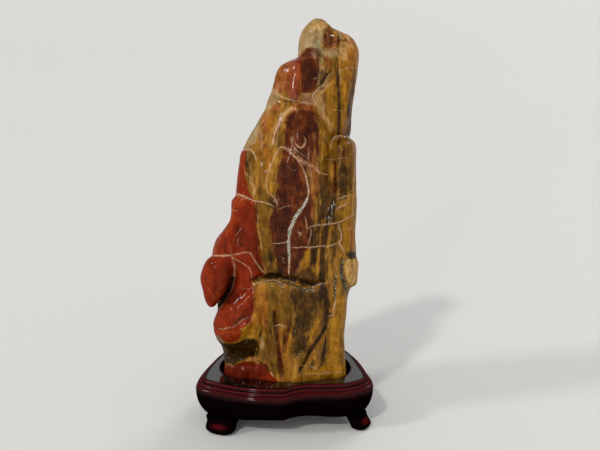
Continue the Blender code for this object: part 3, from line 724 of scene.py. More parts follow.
VIOLET = Pigment("violet", (
    Patch(((20, 374), (31.5, 373), (35, 366), (31, 363), (20.5, 364.5))),
    Patch(((70, 350), (66, 344), (63, 334), (66, 329), (72, 329), (72, 346))),
    Patch(((30, 421), (35, 420), (36.5, 413), (33, 411), (29, 416))),
    Streak(((-25, 333), (-25, 322), (-26, 314)), (0.8, 1.4, 0.8)),
))

CREAM = Pigment("cream", (
    Patch(((70, 186), (76, 188), (84, 187), (88, 170), (84, 152), (78, 153), (74, 158), (70, 167),
           (69.5, 178))),
))

UMBER = Pigment("umber", (
    Streak(((55, 256), (52, 242), (48.5, 228), (45.5, 214), (43.5, 198), (43, 180), (43, 164), (45, 150),
            (47.5, 138), (48.5, 122), (47.5, 108), (43.5, 97), (38.5, 88.5), (32.5, 79), (27.5, 71),
            (24.7, 63.5), (21, 56), (17, 49)), (3.4, 3.8, 1.8)),
    Streak(((55, 417), (57.5, 410), (58, 400), (58.5, 385), (60, 365), (60, 350), (59.5, 330)),
            (0.5, 1.4, 1.7)),
    Streak(((73, 381), (71.5, 370), (70.5, 356), (71, 340), (70.5, 330)), (0.4, 1.5, 1.2)),
    Streak(((75, 394), (74.5, 382), (73, 370)), (0.5, 1.1, 0.5)),
    Streak(((60, 325), (60, 308), (59, 296)), (1.6, 1.3, 0.8)),
    Streak(((66, 320), (65, 300), (64, 284), (63, 268)), (0.6, 1.2, 1.6)),
    Streak(((57.5, 437), (57.8, 430), (56.5, 424)), (0.6, 1.2, 0.8)),
    Streak(((50.6, 439), (50.4, 432), (49.4, 426)), (0.6, 1.4, 0.8)),
    Streak(((41, 248), (40, 232), (38, 216), (39, 200)), (0.8, 1.5, 0.9)),
    Streak(((33, 232), (31.5, 214), (32, 196), (34, 176)), (0.8, 1.3, 1.0)),
    Streak(((48.5, 200), (48, 184), (48.5, 168), (51, 152)), (0.5, 0.9, 0.5)),
    Streak(((39.5, 150), (41, 136), (41, 122)), (0.6, 1.2, 0.6)),
    Streak(((54, 222), (53, 204), (54, 188)), (0.4, 0.7, 0.4)),
    Streak(((-2, 66), (-3, 54), (-2, 44)), (0.4, 0.8, 0.5)),
    Streak(((27, 92), (22, 80), (14, 68)), (0.5, 1.1, 0.5)),
    Streak(((37, 262), (37.5, 246), (38, 230), (35, 212), (36, 196), (33, 178)), (0.8, 1.5, 0.9)),
    Streak(((47, 94), (47, 80), (45, 68), (43, 58), (39, 51)), (1.1, 1.8, 1.3)),
    Streak(((-42, 300), (-42, 292), (-38, 280)), (0.5, 0.8, 0.3)),
    Streak(((-31, 252), (-32, 236), (-31, 222)), (0.8, 1.1, 0.5)),
    Streak(((-12.5, 122), (-12, 112), (-12.5, 100), (-9, 86)), (0.8, 1.5, 0.8)),
    Streak(((-33, 62), (-27, 58), (-22, 54), (-18, 46)), (0.5, 1.0, 0.6)),
    Streak(((50, 399), (45, 392), (41, 385), (38, 380)), (1.0, 2.2, 1.0)),
    Streak(((-54, 206), (-46, 203), (-41, 199)), (0.3, 0.7, 0.3)),
    Streak(((-46, 118), (-53, 114), (-58, 109)), (0.4, 1.2, 0.6)),
    Streak(((10, 122), (13, 112), (11, 100), (9, 90)), (0.6, 1.2, 0.8)),
    Patch(((69, 193), (80, 196), (82, 189), (74, 187))),
))

# Painted shade: near-black patches and streaks in the recess above the ledge, the undercut below the lower
# lip, above and below the chipped facet and along the lobe's cleft.
SHADE = Pigment("shade", (
    Patch(((-33, 163), (-25, 166), (-19, 170.5), (-8, 169.5), (2, 167), (11, 163), (13, 160), (6, 161),
           (-6, 163), (-20, 163.5))),
    Streak(((16, 158.5), (24, 158), (32, 156.5), (40, 158)), (0.8, 1.6, 0.6)),
    Patch(((-79, 90), (-72, 84), (-60, 83), (-50, 88), (-38, 89), (-32, 87), (-33, 78), (-35, 70),
           (-42, 65), (-52, 61), (-60, 57), (-70, 58), (-80, 62))),
    Streak(((-80, 92), (-78, 82), (-74, 77)), (1.0, 2.0, 1.2)),
    Streak(((-34, 84), (-31, 76), (-34, 68)), (1.6, 1.4, 0.6)),
    Streak(((-31, 103), (-29, 98), (-30, 92)), (0.5, 1.0, 0.8)),
    Streak(((72, 146), (78, 150), (84, 152)), (0.8, 1.2, 0.6)),
    Streak(((70, 195), (77, 194), (84, 190)), (1.0, 1.8, 1.0)),
    Streak(((-61, 154), (-65, 146), (-71, 137), (-79, 128)), (0.6, 1.9, 2.6)),
))

MURK = Pigment("murk", (
    Patch(((3, 150), (18, 153), (34, 151), (42, 150), (42, 134), (40, 120), (34, 108), (27, 98), (15, 91),
           (8, 95), (11, 108), (12, 122), (7, 136))),
    Patch(((24, 124), (35, 130), (39, 118), (33, 106), (24, 97), (15, 101), (17, 113))),
    Patch(((11, 92), (22, 95), (26, 84), (23, 74), (16, 72), (10, 80))),
    Patch(((38, 264), (45, 268), (52, 262), (58, 262), (58, 248), (55, 236), (48, 234), (42, 236),
           (39, 248))),
    Patch(((58, 290), (66, 296), (74, 286), (75, 268), (68, 258), (60, 258))),
    Patch(((11, 166), (17, 173), (26, 176), (34, 172), (41, 164), (40, 157), (30, 153), (19, 155))),
    Patch(((18, 166), (26, 171), (33, 167), (36, 160), (26, 156))),
    Patch(((-17, 262), (-12, 264), (-9, 254), (-12, 242), (-17, 246))),
    Streak(((-30, 180), (-22, 176), (-12, 174), (0, 172)), (1.0, 2.4, 1.4)),
    Streak(((37, 232), (36, 212), (33, 192), (31, 172)), (1.0, 2.2, 1.6)),
    Streak(((56, 236), (57, 216), (55, 196), (53, 176)), (0.8, 1.6, 1.0)),
    Streak(((-19, 112), (-17, 96), (-18, 78), (-16, 58)), (0.8, 2.0, 1.0)),
    Streak(((40, 70), (35, 60), (28, 50)), (0.8, 1.8, 1.2)),
    Streak(((51, 136), (52, 116), (51, 96)), (0.5, 1.3, 0.6)),
    Streak(((46, 402), (42, 394), (38, 382)), (1.4, 3.2, 1.4)),
    Streak(((-16, 172), (-14, 186), (-19, 200)), (1.0, 1.8, 0.8)),
    Streak(((-40, 308), (-40, 296), (-36, 284)), (0.6, 1.6, 0.8)),
))

ASH = Pigment("ash", (
    Patch(((32, 430), (36, 432), (39.6, 429), (39, 424), (35, 422.6), (31.8, 425.4))),
    Streak(((-44, 318), (-36, 330), (-28, 344), (-20, 358)), (0.8, 1.6, 0.8)),
    Streak(((20, 434), (18.5, 424), (18.5, 416)), (0.6, 1.0, 0.6)),
))

# Pinkish. Three streaks are painted highlights: beside the lobe's cleft, along the lower lobe's lip and
# down the main lobe's shoulder ridge; the others are pinkish bands and veins in the stone.
ROSY_AND_HIGHLIGHT = Pigment("rosy", (
    Streak(((1, 316), (7, 311), (12, 306), (18, 301), (25, 297), (32, 294), (38, 289)), (1.4, 2.6, 1.6)),
    Streak(((10, 327), (12, 320), (17, 316), (22, 317)), (0.5, 0.9, 0.6)),
    Streak(((13, 318), (13, 311), (12, 306)), (0.4, 0.7, 0.5)),
    Streak(((20, 312), (19, 305), (22, 299)), (0.4, 0.7, 0.5)),
    Streak(((27, 316), (27, 306), (28, 298), (31, 291)), (0.4, 0.8, 0.6)),
    Streak(((24, 298), (27, 290), (30, 280), (31, 268)), (0.8, 1.0, 0.6)),
    Streak(((31, 302), (35, 298), (38, 291)), (0.5, 0.9, 0.5)),
    Streak(((-57.5, 182), (-57, 172), (-58.5, 162), (-61, 152), (-64, 145)), (0.9, 1.6, 1.6)),
    Streak(((-36, 160), (-36, 152), (-37, 144)), (0.8, 1.2, 0.5)),
    Streak(((-83, 191), (-70, 191.4), (-58, 192), (-50, 194)), (1.0, 1.2, 0.8)),
    Streak(((-54, 262), (-46, 260), (-38, 257)), (1.8, 1.9, 0.8)),
    # Painted highlight beside the lobe's cleft.
    Streak(((-64, 146), (-68, 139), (-73, 130)), (1.2, 1.6, 1.0)),
    # Painted highlight along the lower lobe's lip.
    Streak(((-74, 101), (-66, 103), (-60, 104), (-54, 108.5), (-48, 113.5)), (0.8, 1.4, 0.8)),
    Patch(((-10, 380), (-6, 384), (-7, 374), (-12, 374))),
    Streak(((14, 384.6), (17, 385)), (0.6, 0.8, 0.5)),
    Streak(((-12, 262), (-10, 256), (-6, 250)), (0.6, 1.0, 0.6)),
    # Painted highlight down the main lobe's shoulder ridge.
    Streak(((-10, 322), (-9, 334), (-4, 344), (2, 352), (8, 358)), (0.4, 1.1, 0.9)),
    Patch(((38, 73), (40, 73), (40, 68), (38, 68))),
    Streak(((-44, 62), (-36, 64), (-33, 58)), (1.4, 1.6, 1.2)),
))

PALE = Pigment("pale", (
    Streak(((-13, 161), (-8, 160), (-4, 158), (-3, 152), (-4, 145)), (1.0, 2.0, 0.8)),
    Streak(((-1, 161), (6, 159.6), (10, 157), (15, 153), (20, 151)), (1.6, 2.4, 1.4)),
    Streak(((22, 151), (27, 151.5), (31, 152), (32, 145)), (1.2, 2.0, 0.8)),
    Streak(((8, 158), (9, 153), (8, 149)), (1.0, 1.0, 0.4)),
    Streak(((-24, 161.6), (-18, 161.4), (-14, 161)), (0.5, 0.9, 0.5)),
    Streak(((26, 104), (29, 106), (31, 107)), (0.9, 1.5, 0.6)),
    Streak(((68, 188), (66, 182), (65.6, 172), (67.5, 162), (70, 154), (72, 149)), (1.2, 2.4, 1.6)),
    Streak(((58.5, 168), (57.6, 158), (57.4, 148), (58, 140)), (0.9, 1.5, 1.0)),
    Streak(((-12, 257), (-9, 252), (-6, 257)), (0.6, 1.0, 0.5)),
    Streak(((-47, 84), (-43, 86.5)), (0.6, 1.0, 0.5)),
    Streak(((-65, 57), (-62, 54)), (0.8, 1.5, 1.0)),
    Streak(((12, 63), (15, 67), (18, 71.5)), (0.4, 0.9, 0.5)),
    Streak(((8, 38), (11, 42)), (0.6, 0.9, 0.4)),
))

GLEY = Pigment("gley", (
    Streak(((67, 187), (65, 178), (65.5, 168), (68.5, 158), (71.5, 149)), (1.6, 3.2, 2.6)),
    Streak(((59, 170), (57.6, 158), (57.4, 148), (58, 139)), (1.2, 2.0, 1.4)),
    Streak(((-14, 161), (-8, 158.5), (-3, 156)), (0.6, 1.8, 0.8)),
    Streak(((-2, 158.5), (6, 158), (12, 154.5)), (0.6, 1.4, 1.0)),
    Streak(((-4, 158), (-3.4, 153), (-4, 148)), (1.2, 1.0, 0.4)),
    Streak(((11, 156), (18, 152), (26, 150.6)), (0.8, 1.8, 1.0)),
    Streak(((24, 151), (31, 151.4), (32, 146)), (0.8, 1.6, 0.6)),
))

FRONT_PIGMENTS = (
    RED, WINE, CRIMSON_AND_SHADE, BLAZE_AND_HIGHLIGHT, AMBER, GOLD, OLIVE, BROWN, KHAKI, TAN_AND_HIGHLIGHT, RUST, MAROON, DUSK, VIOLET, CREAM,
    UMBER, MURK, SHADE, ASH, ROSY_AND_HIGHLIGHT, PALE, GLEY,
)

# ---- The drawing: veins of the front, in groups that don't cross, with a few painted highlights ---
GREAT_VEINS = (
    Vein(((0, 314), (7.6, 309), (14, 303), (20, 294), (23.6, 285), (25.6, 276), (27, 268), (26.6, 260)),
          (0.15, 0.35, 1.1), 1.0),
    Vein(((26.6, 260), (23.4, 252.7), (18.4, 245), (13, 237), (9.4, 229), (6.2, 221), (4.8, 212)),
          (1.1, 1.75, 1.7), 1.0),
    Vein(((4.8, 212), (4.6, 203), (5.4, 192), (5.2, 180), (4.6, 168)), (1.7, 1.1, 0.3), 1.0),
    Vein(((61.2, 229), (62, 223), (64.2, 216), (64, 211), (61.8, 206), (65.4, 200), (68.4, 194)),
          (0.4, 0.7, 0.6), 0.9),
    Vein(((-60.5, 191), (-58.6, 185), (-57.2, 177), (-57.4, 168.7), (-58.8, 159), (-61, 152)),
          (0.3, 0.6, 0.4), 0.7),
    Vein(((-54, 263.6), (-44.7, 260.5), (-36.9, 256.6), (-31.6, 254.6), (-25, 254), (-17.3, 251.6),
          (-11, 248.4)), (0.9, 0.55, 0.3), 0.7),
    Vein(((23.3, 235.7), (24.6, 230.5), (25.2, 221.6)), (0.3, 0.45, 0.35), 0.85),
    Vein(((51.4, 397), (46.8, 391.8), (44.2, 385.3), (37.6, 380), (32.4, 374.8), (31, 369.6), (36, 362)),
          (0.3, 0.45, 0.4), 0.8),
    Vein(((-84, 191.4), (-73.5, 190.8), (-62, 191.4)), (0.4, 0.6, 0.5), 0.9),
    Vein(((-12, 105.2), (-6.2, 107), (1, 104)), (0.3, 0.5, 0.3), 0.8),
    Vein(((59, 139), (57.5, 131), (56.3, 124), (56.3, 117)), (0.5, 0.6, 0.3), 0.9),
    Vein(((-34.2, 157.6), (-26, 160), (-14, 161.5)), (0.4, 0.6, 0.4), 0.8),
    Vein(((22, 327), (23.4, 323), (22.4, 318.4), (19, 315), (14.8, 317), (13, 319)), (0.3, 0.5, 0.4), 0.9),
)

LONG_VEINS = (
    Vein(((26, 221.6), (29, 225), (36.3, 227), (46.8, 228), (55, 229), (62, 231), (70, 235), (81, 242)),
          (0.3, 0.5, 0.4), 0.95),
    Vein(((2, 313), (-1, 316), (-5.5, 313.8), (-9.4, 307), (-13.3, 298.4), (-17.3, 288), (-19.6, 278.8),
          (-20, 269.7), (-17.3, 263.8), (-12, 259.9), (-8.5, 254), (-8, 249)), (0.6, 0.42, 0.4), 0.75),
    Vein(((8.5, 201), (14, 200.6), (20.7, 201.4), (27, 201), (33, 201.4), (41, 202.6), (48, 201.8),
          (55, 204), (61.5, 207)), (0.35, 0.42, 0.4), 0.9),
    Vein(((-14, 205.6), (-7, 205.6), (-1, 206.6), (3, 206.6)), (0.2, 0.35, 0.3), 0.8),
    Vein(((60.4, 257.6), (67, 260.2), (74.5, 262.4)), (0.35, 0.42, 0.3), 0.85),
    Vein(((57.9, 245.6), (62, 248), (67, 250), (71.6, 253.4)), (0.35, 0.45, 0.3), 0.85),
    Vein(((33.7, 294), (37.6, 288.6), (42.9, 286), (48, 285)), (0.5, 0.6, 0.35), 0.8),
    Vein(((65, 328), (58.6, 328.6), (55.4, 327), (52, 321.7), (51, 317), (52.4, 314)), (0.4, 0.6, 0.4),
          0.85),
    Vein(((-60, 191.6), (-49.7, 194), (-40, 194.6), (-36.6, 189.8), (-31.4, 181), (-25.8, 173),
          (-20.6, 168.7)), (0.35, 0.5, 0.4), 0.85),
    Vein(((48, 356), (55, 356.6), (64, 355.6)), (0.2, 0.3, 0.2), 0.5),
    Vein(((59, 399.4), (64, 399.6), (69, 401.6), (77, 401)), (0.4, 0.45, 0.3), 0.6),
    Vein(((-12, 377), (-5, 372.6), (1, 369.6), (8, 367), (15, 366), (24, 364.4), (34, 362.6),
          (41, 357.6)), (0.4, 0.7, 0.5), 0.6),
    Vein(((32, 152.4), (37, 156), (42, 158.4), (47, 157.8), (52, 160)), (0.3, 0.4, 0.25), 0.65),
    Vein(((56.6, 119.6), (53, 118), (50, 118)), (0.4, 0.5, 0.3), 0.75),
    Vein(((-45, 313), (-38, 313.4), (-33, 309), (-30.6, 301)), (0.4, 0.7, 0.3), 0.75),
)

FINE_VEINS_AND_HIGHLIGHTS = (
    Vein(((-60.5, 190.4), (-53.9, 185.6), (-46, 181), (-40, 175.6), (-38, 168), (-37.6, 160)),
          (0.3, 0.4, 0.3), 0.7),
    Vein(((28, 224), (30.4, 219.4), (28.5, 211), (26.4, 203)), (0.3, 0.4, 0.25), 0.8),
    Vein(((15.4, 219.6), (17.4, 217), (18.6, 218.4)), (0.3, 0.6, 0.3), 0.9),
    Vein(((17.2, 217.6), (17, 214)), (0.5, 0.4, 0.2), 0.9),
    Vein(((42, 302.4), (54, 302.4), (64, 303.6), (69, 304.4)), (0.15, 0.22, 0.15), 0.5),
    Vein(((7, 327), (8.5, 321), (11, 316), (11, 310)), (0.25, 0.35, 0.3), 0.6),
    Vein(((26.6, 313), (27, 306), (25, 300)), (0.3, 0.35, 0.3), 0.6),
    Vein(((20.6, 374), (26, 373.8), (31.8, 373)), (0.3, 0.4, 0.3), 0.75),
    Vein(((20.4, 364.6), (25, 364.2), (30, 363)), (0.3, 0.4, 0.3), 0.5),
    Vein(((-14, 275.8), (-9, 275.6)), (0.15, 0.3, 0.15), 0.7),
    Vein(((-59, 246), (-55, 243), (-52, 244)), (0.2, 0.35, 0.2), 0.5),
    Vein(((-53, 204), (-53, 208), (-52, 212)), (0.15, 0.25, 0.15), 0.5),
    Vein(((-61.6, 202), (-61, 196), (-60, 192)), (0.15, 0.25, 0.2), 0.5),
    Vein(((18, 184), (15, 176), (12, 168)), (0.2, 0.25, 0.15), 0.4),
    Vein(((-4, 190), (-1.4, 188), (-2.4, 184), (1, 182)), (0.15, 0.25, 0.15), 0.6),
    Vein(((-6, 246), (2, 249), (9, 249.6)), (0.2, 0.3, 0.15), 0.6),
    Vein(((13, 55.6), (18, 55.4), (25, 55.8)), (0.15, 0.3, 0.15), 0.7),
    Vein(((30, 55), (34, 52.4), (39, 50)), (0.3, 0.55, 0.3), 0.8),
    Vein(((-51, 53), (-49.5, 50)), (0.3, 0.5, 0.3), 0.9),
    Vein(((-17.4, 47), (-16, 44), (-14.6, 42)), (0.3, 0.6, 0.3), 0.9),
    # Painted highlight: these two pale lines along the lower lobe's lip stand for the light it catches.
    Vein(((-78, 102.4), (-72, 101.6), (-64, 103)), (0.4, 0.6, 0.3), 0.6),
    Vein(((-60, 103), (-54, 108), (-49, 113), (-42, 115.8)), (0.25, 0.4, 0.3), 0.5),
    Vein(((-63, 128), (-61, 125)), (0.2, 0.4, 0.2), 0.6),
    # Painted highlight: a pale line along the crest of the knob's shelf.
    Vein(((37, 421), (46, 421.6), (56, 421.2), (62, 424)), (0.3, 0.5, 0.3), 0.5),
    Vein(((66, 222), (72, 223.2), (80, 224)), (0.15, 0.25, 0.15), 0.6),
    Vein(((-51, 153), (-44, 151), (-36, 152.6)), (0.2, 0.35, 0.2), 0.4),
    Vein(((33, 390.4), (36, 391)), (0.3, 0.5, 0.2), 0.7),
    Vein(((1, 315.6), (6, 312), (10, 307.4), (15, 303.6), (20, 300), (27, 297), (34, 294)),
          (0.3, 0.5, 0.4), 0.7),
    Vein(((10.6, 318), (14, 312.6), (19, 308), (24, 304.6)), (0.15, 0.3, 0.15), 0.5),
    Vein(((24, 299), (28.4, 292), (30.6, 284), (31, 274)), (0.2, 0.35, 0.15), 0.5),
    Vein(((-10, 377), (-5, 381), (-6, 386)), (0.15, 0.3, 0.15), 0.5),
    Vein(((-4, 373), (-8, 366), (-16, 356), (-24, 342)), (0.2, 0.35, 0.15), 0.45),
    Vein(((10, 330), (9.4, 322), (7, 314)), (0.15, 0.25, 0.15), 0.4),
    Vein(((-46, 332), (-38, 322), (-33, 312)), (0.2, 0.4, 0.2), 0.3),
    Vein(((4, 294), (9, 290), (14, 291)), (0.1, 0.2, 0.1), 0.3),
    Vein(((20, 168), (14, 160), (18, 156)), (0.15, 0.25, 0.15), 0.4),
)

# ---- The drawing: the back -----------------------------------------------------
BACK_VEINS = (
    Vein(((-20, 334), (-8, 318), (2, 296), (-4, 276), (-14, 258), (-20, 238), (-18, 216), (-24, 196)),
          (0.4, 1.2, 0.5), 1.0),
    Vein(((60, 306), (46, 300), (30, 302), (14, 297)), (0.3, 0.5, 0.25), 0.8),
    Vein(((70, 238), (56, 231), (40, 228), (26, 222)), (0.3, 0.5, 0.3), 0.9),
    Vein(((34, 196), (38, 176), (30, 156), (34, 134), (26, 112)), (0.3, 0.7, 0.4), 0.8),
    Vein(((-64, 206), (-54, 194), (-58, 178), (-50, 162)), (0.25, 0.45, 0.3), 0.6),
    Vein(((-56, 122), (-40, 116), (-26, 118), (-12, 110)), (0.4, 0.5, 0.4), 0.7),
    Vein(((28, 420), (36, 404), (32, 386), (40, 368)), (0.3, 0.5, 0.3), 0.7),
    Vein(((58, 160), (66, 150), (64, 138)), (0.3, 0.6, 0.4), 0.8),
)

MAROON_BACK = Pigment("maroon_back", (
    Patch(((-14, 352), (4, 372), (16, 352), (20, 320), (12, 284), (22, 246), (14, 208), (22, 166),
           (12, 126), (-2, 132), (-8, 172), (-16, 210), (-8, 252), (-18, 292), (-20, 326))),
    Patch(((44, 300), (54, 262), (50, 214), (58, 176), (50, 150), (42, 184), (40, 240), (36, 280))),
    Patch(((26, 452), (44, 448), (46, 418), (40, 392), (30, 404), (24, 430))),
    Streak(((66, 330), (70, 290), (66, 250), (70, 214)), (0.8, 2.2, 0.8)),
), Face.BACK)

UMBER_BACK = Pigment("umber_back", (
    Streak(((30, 352), (34, 310), (30, 262), (34, 214), (28, 170), (32, 124), (24, 70)), (1.2, 2.6, 1.6)),
    Streak(((66, 404), (64, 360), (68, 316), (64, 262), (68, 210)), (0.8, 2.0, 1.0)),
    Streak(((-24, 300), (-28, 262), (-24, 226), (-30, 190)), (0.8, 1.8, 0.8)),
    Streak(((-60, 120), (-36, 114), (-10, 118), (14, 110), (50, 113), (66, 116)), (1.0, 2.4, 1.2)),
    Streak(((8, 96), (4, 74), (6, 46)), (0.8, 2.0, 1.0)),
), Face.BACK)

BACK_PIGMENTS = (MAROON_BACK, UMBER_BACK)

# ---- The stone's relief --------------------------------------------------------
# Clefts of the front, by path, width and depth. The first lies under the ledge.
CLEFTS = (
    Cleft(((-36, 162), (-24, 166), (-8, 167), (6, 165), (16, 161), (30, 158), (44, 158)), 2.9, 1.5),
    Cleft(((-60, 163), (-61.5, 157), (-65, 149), (-71, 139), (-79, 129)), 1.8, 3.4),
    Cleft(((-84, 103), (-70, 102.3), (-60, 103.6), (-52, 109.6), (-45, 115.2), (-37, 115.6)), 1.0, 1.3),
    Cleft(((-35, 152), (-46, 149), (-58, 143), (-66, 135)), 1.2, 1.2),
    Cleft(((-15, 373), (-4, 367), (8, 365), (20, 366), (32, 371), (42, 380)), 1.2, 0.9),
    Cleft(((37.5, 378), (38.5, 392), (38, 408), (37, 416)), 1.0, 0.6),
    Cleft(((44, 421), (56, 421), (66, 425)), 1.2, 1.0),
    Cleft(((47, 442), (50, 432), (50, 424)), 2.2, 0.8),
    Cleft(((58, 415), (60, 380), (60.5, 335)), 0.9, 0.9),
    Cleft(((75, 388), (74, 360), (71.5, 338)), 1.0, 0.9),
    Cleft(((56, 262), (56, 290), (57, 318), (58.5, 329), (74, 329)), 1.0, 0.9),
    Cleft(((-41, 308), (-38, 290), (-33, 268), (-32, 240), (-30, 205), (-28, 180)), 1.0, 0.5),
    Cleft(((-60, 261), (-48, 260), (-36, 256.5)), 0.9, 0.7),
    Cleft(((64, 197), (74, 191.5), (84, 194)), 1.1, 1.6),
    Cleft(((67, 194), (65, 182), (67, 166), (69, 152)), 1.2, 1.4),
    Cleft(((-12, 120), (-10.5, 96), (-8, 70), (-6, 46)), 1.4, 1.3),
    Cleft(((4, 126), (9, 110), (2, 92), (1, 74)), 1.6, 0.8),
    Cleft(((47, 140), (48.5, 112), (42, 92), (31, 72), (20, 52)), 1.4, 0.9),
    Cleft(((-84, 191.4), (-70, 190.6), (-60, 191.6), (-48, 193.6)), 0.7, 0.5),
    Cleft(((-2, 190), (-6, 178), (-4, 170)), 1.0, 0.5),
    Cleft(((20, 300), (26, 286), (27, 268), (21, 250), (10, 232), (5, 212), (5, 172)), 0.8, 0.35),
    Cleft(((-30, 240), (-33, 220), (-30, 196)), 1.2, 0.5),
    Cleft(((40, 250), (42, 220), (41, 190)), 1.4, 0.5),
)

# Crests of the front, by path, width and height. The first runs down the second peak.
CRESTS = (
    Cleft(((12.5, 412), (10.8, 396), (10.4, 380), (11, 364)), 3.6, 0.1),
    Cleft(((-12, 320), (-10, 332), (-5, 343), (2, 352), (10, 358)), 3.0, 1.9),
    Cleft(((-34, 158), (-18, 159), (-4, 157), (8, 154.5), (18, 149.5), (30, 148), (42, 153)), 2.4, 1.0),
    Cleft(((-62, 104.5), (-54, 110), (-47, 114.5), (-38, 117)), 2.2, 0.8),
    Cleft(((34, 420.4), (44, 420.6), (56, 420), (64, 423)), 1.9, 0.8),
    Cleft(((52, 322), (56, 326.4), (64, 327.4), (74, 326.4)), 1.8, 0.6),
    Cleft(((31, 371), (38, 379.5), (47, 387), (52, 396)), 2.0, 0.8),
    Cleft(((-46, 312), (-38, 312), (-33, 308)), 1.8, 0.5),
    Cleft(((46.6, 441), (46.4, 430)), 1.4, 0.6),
)

# Parts of the front that stand out, or lie lower where the rise is below zero.
SWELLS = (
    Swell(Patch(((-30, 164), (-10, 168), (10, 166), (30, 160), (42, 160), (44, 172), (30, 182), (5, 184),
                 (-20, 180))), -1.9, 7.0),
    Swell(Patch(((-34, 158), (-5, 157), (15, 150), (30, 148), (42, 153), (44, 140), (20, 134), (-10, 142),
                 (-34, 148))), 1.3, 5.0),
    Swell(Patch(((8, 140), (30, 146), (38, 130), (34, 110), (24, 98), (12, 104), (6, 120))), -2.0, 6.0),
    Swell(Patch(((10, 92), (24, 94), (24, 76), (12, 74))), -1.2, 4.0),
    Swell(Streak(((42, 124), (37, 108), (31, 94), (26, 82)), (3.0, 4.0, 2.0)), 1.4, 3.5),
    Swell(Streak(((-12.5, 122), (-11, 104), (-8, 80), (-6, 50)), (2.0, 2.0, 2.0)), -1.5, 3.0),
    Swell(Streak(((3.5, 101), (0.5, 88), (-2, 72)), (2.0, 2.2, 1.4)), -1.5, 2.4),
    Swell(Streak(((8, 98), (4, 78), (-1, 58)), (1.4, 2.4, 1.4)), 1.1, 2.4),
    Swell(Streak(((-20, 104), (-18, 80), (-16, 58)), (2.0, 3.0, 2.0)), 0.9, 3.0),
    Swell(Patch(((44, 440), (50, 442), (56, 436), (57, 427), (52, 423), (45, 424), (43, 431))), -2.2, 4.0),
    Swell(Patch(((5, 348), (18, 352), (30, 348), (32, 330), (26, 316), (10, 318), (4, 332))), 1.1, 9.0),
    Swell(Patch(((60, 324), (76, 320), (76, 280), (74, 256), (60, 256))), 0.9, 3.0),
    Swell(Patch(((38, 266), (54, 266), (52, 236), (40, 232))), -1.2, 4.0),
    Swell(Streak(((36, 246), (35, 214), (33, 176)), (2.0, 3.0, 2.0)), -0.9, 3.0),
    Swell(Streak(((47, 236), (42, 206), (38, 172)), (1.6, 2.4, 2.0)), 0.8, 2.4),
    Swell(Patch(((22, 408), (34, 408), (34, 380), (22, 380))), -1.0, 5.0),
    Swell(Streak(((11, 372), (11.5, 360)), (8.0, 8.0, 8.0)), 2.0, 12.0),
    Swell(Patch(((-48, 104), (-34, 106), (-30, 98), (-34, 92), (-48, 92))), -1.2, 4.0),
)

# Clefts of the back, drawn through the stone as seen from the front.
BACK_CLEFTS = (
    Cleft(((-60, 128), (-30, 118), (0, 121), (26, 112), (62, 116)), 1.4, 1.6),
    Cleft(((8, 330), (9, 280), (8, 220), (6, 160), (10, 110)), 1.5, 1.2),
    Cleft(((46, 300), (45, 240), (44, 180), (48, 130)), 1.4, 1.2),
    Cleft(((-24, 306), (0, 312), (28, 322), (60, 318)), 1.3, 1.3),
    Cleft(((24, 104), (28, 80), (22, 48)), 1.6, 1.0),
    Cleft(((34, 440), (38, 410), (34, 385), (38, 350)), 1.4, 1.0),
    Cleft(((-50, 226), (-28, 214), (-8, 218)), 1.1, 0.9),
    Cleft(((16, 246), (34, 252), (50, 240)), 1.1, 0.8),
)


# ---- The stone -----------------------------------------------------------------
def solid_noise(points: np.ndarray, sizes: tuple[float, float, float], shift: float = 0.0) -> np.ndarray:
    """Smooth noise from about -1 to 1 at each point, by the lumps' sizes and a shift."""
    scaled = points / np.array(sizes) + shift
    return np.array([lattice.noise(Vector(row)) for row in scaled])


def step(values: np.ndarray, low: float, high: float) -> np.ndarray:
    """A smooth step from 0 at low to 1 at high."""
    t = np.clip((values - low) / (high - low), 0, 1)
    return t * t * (3 - 2 * t)


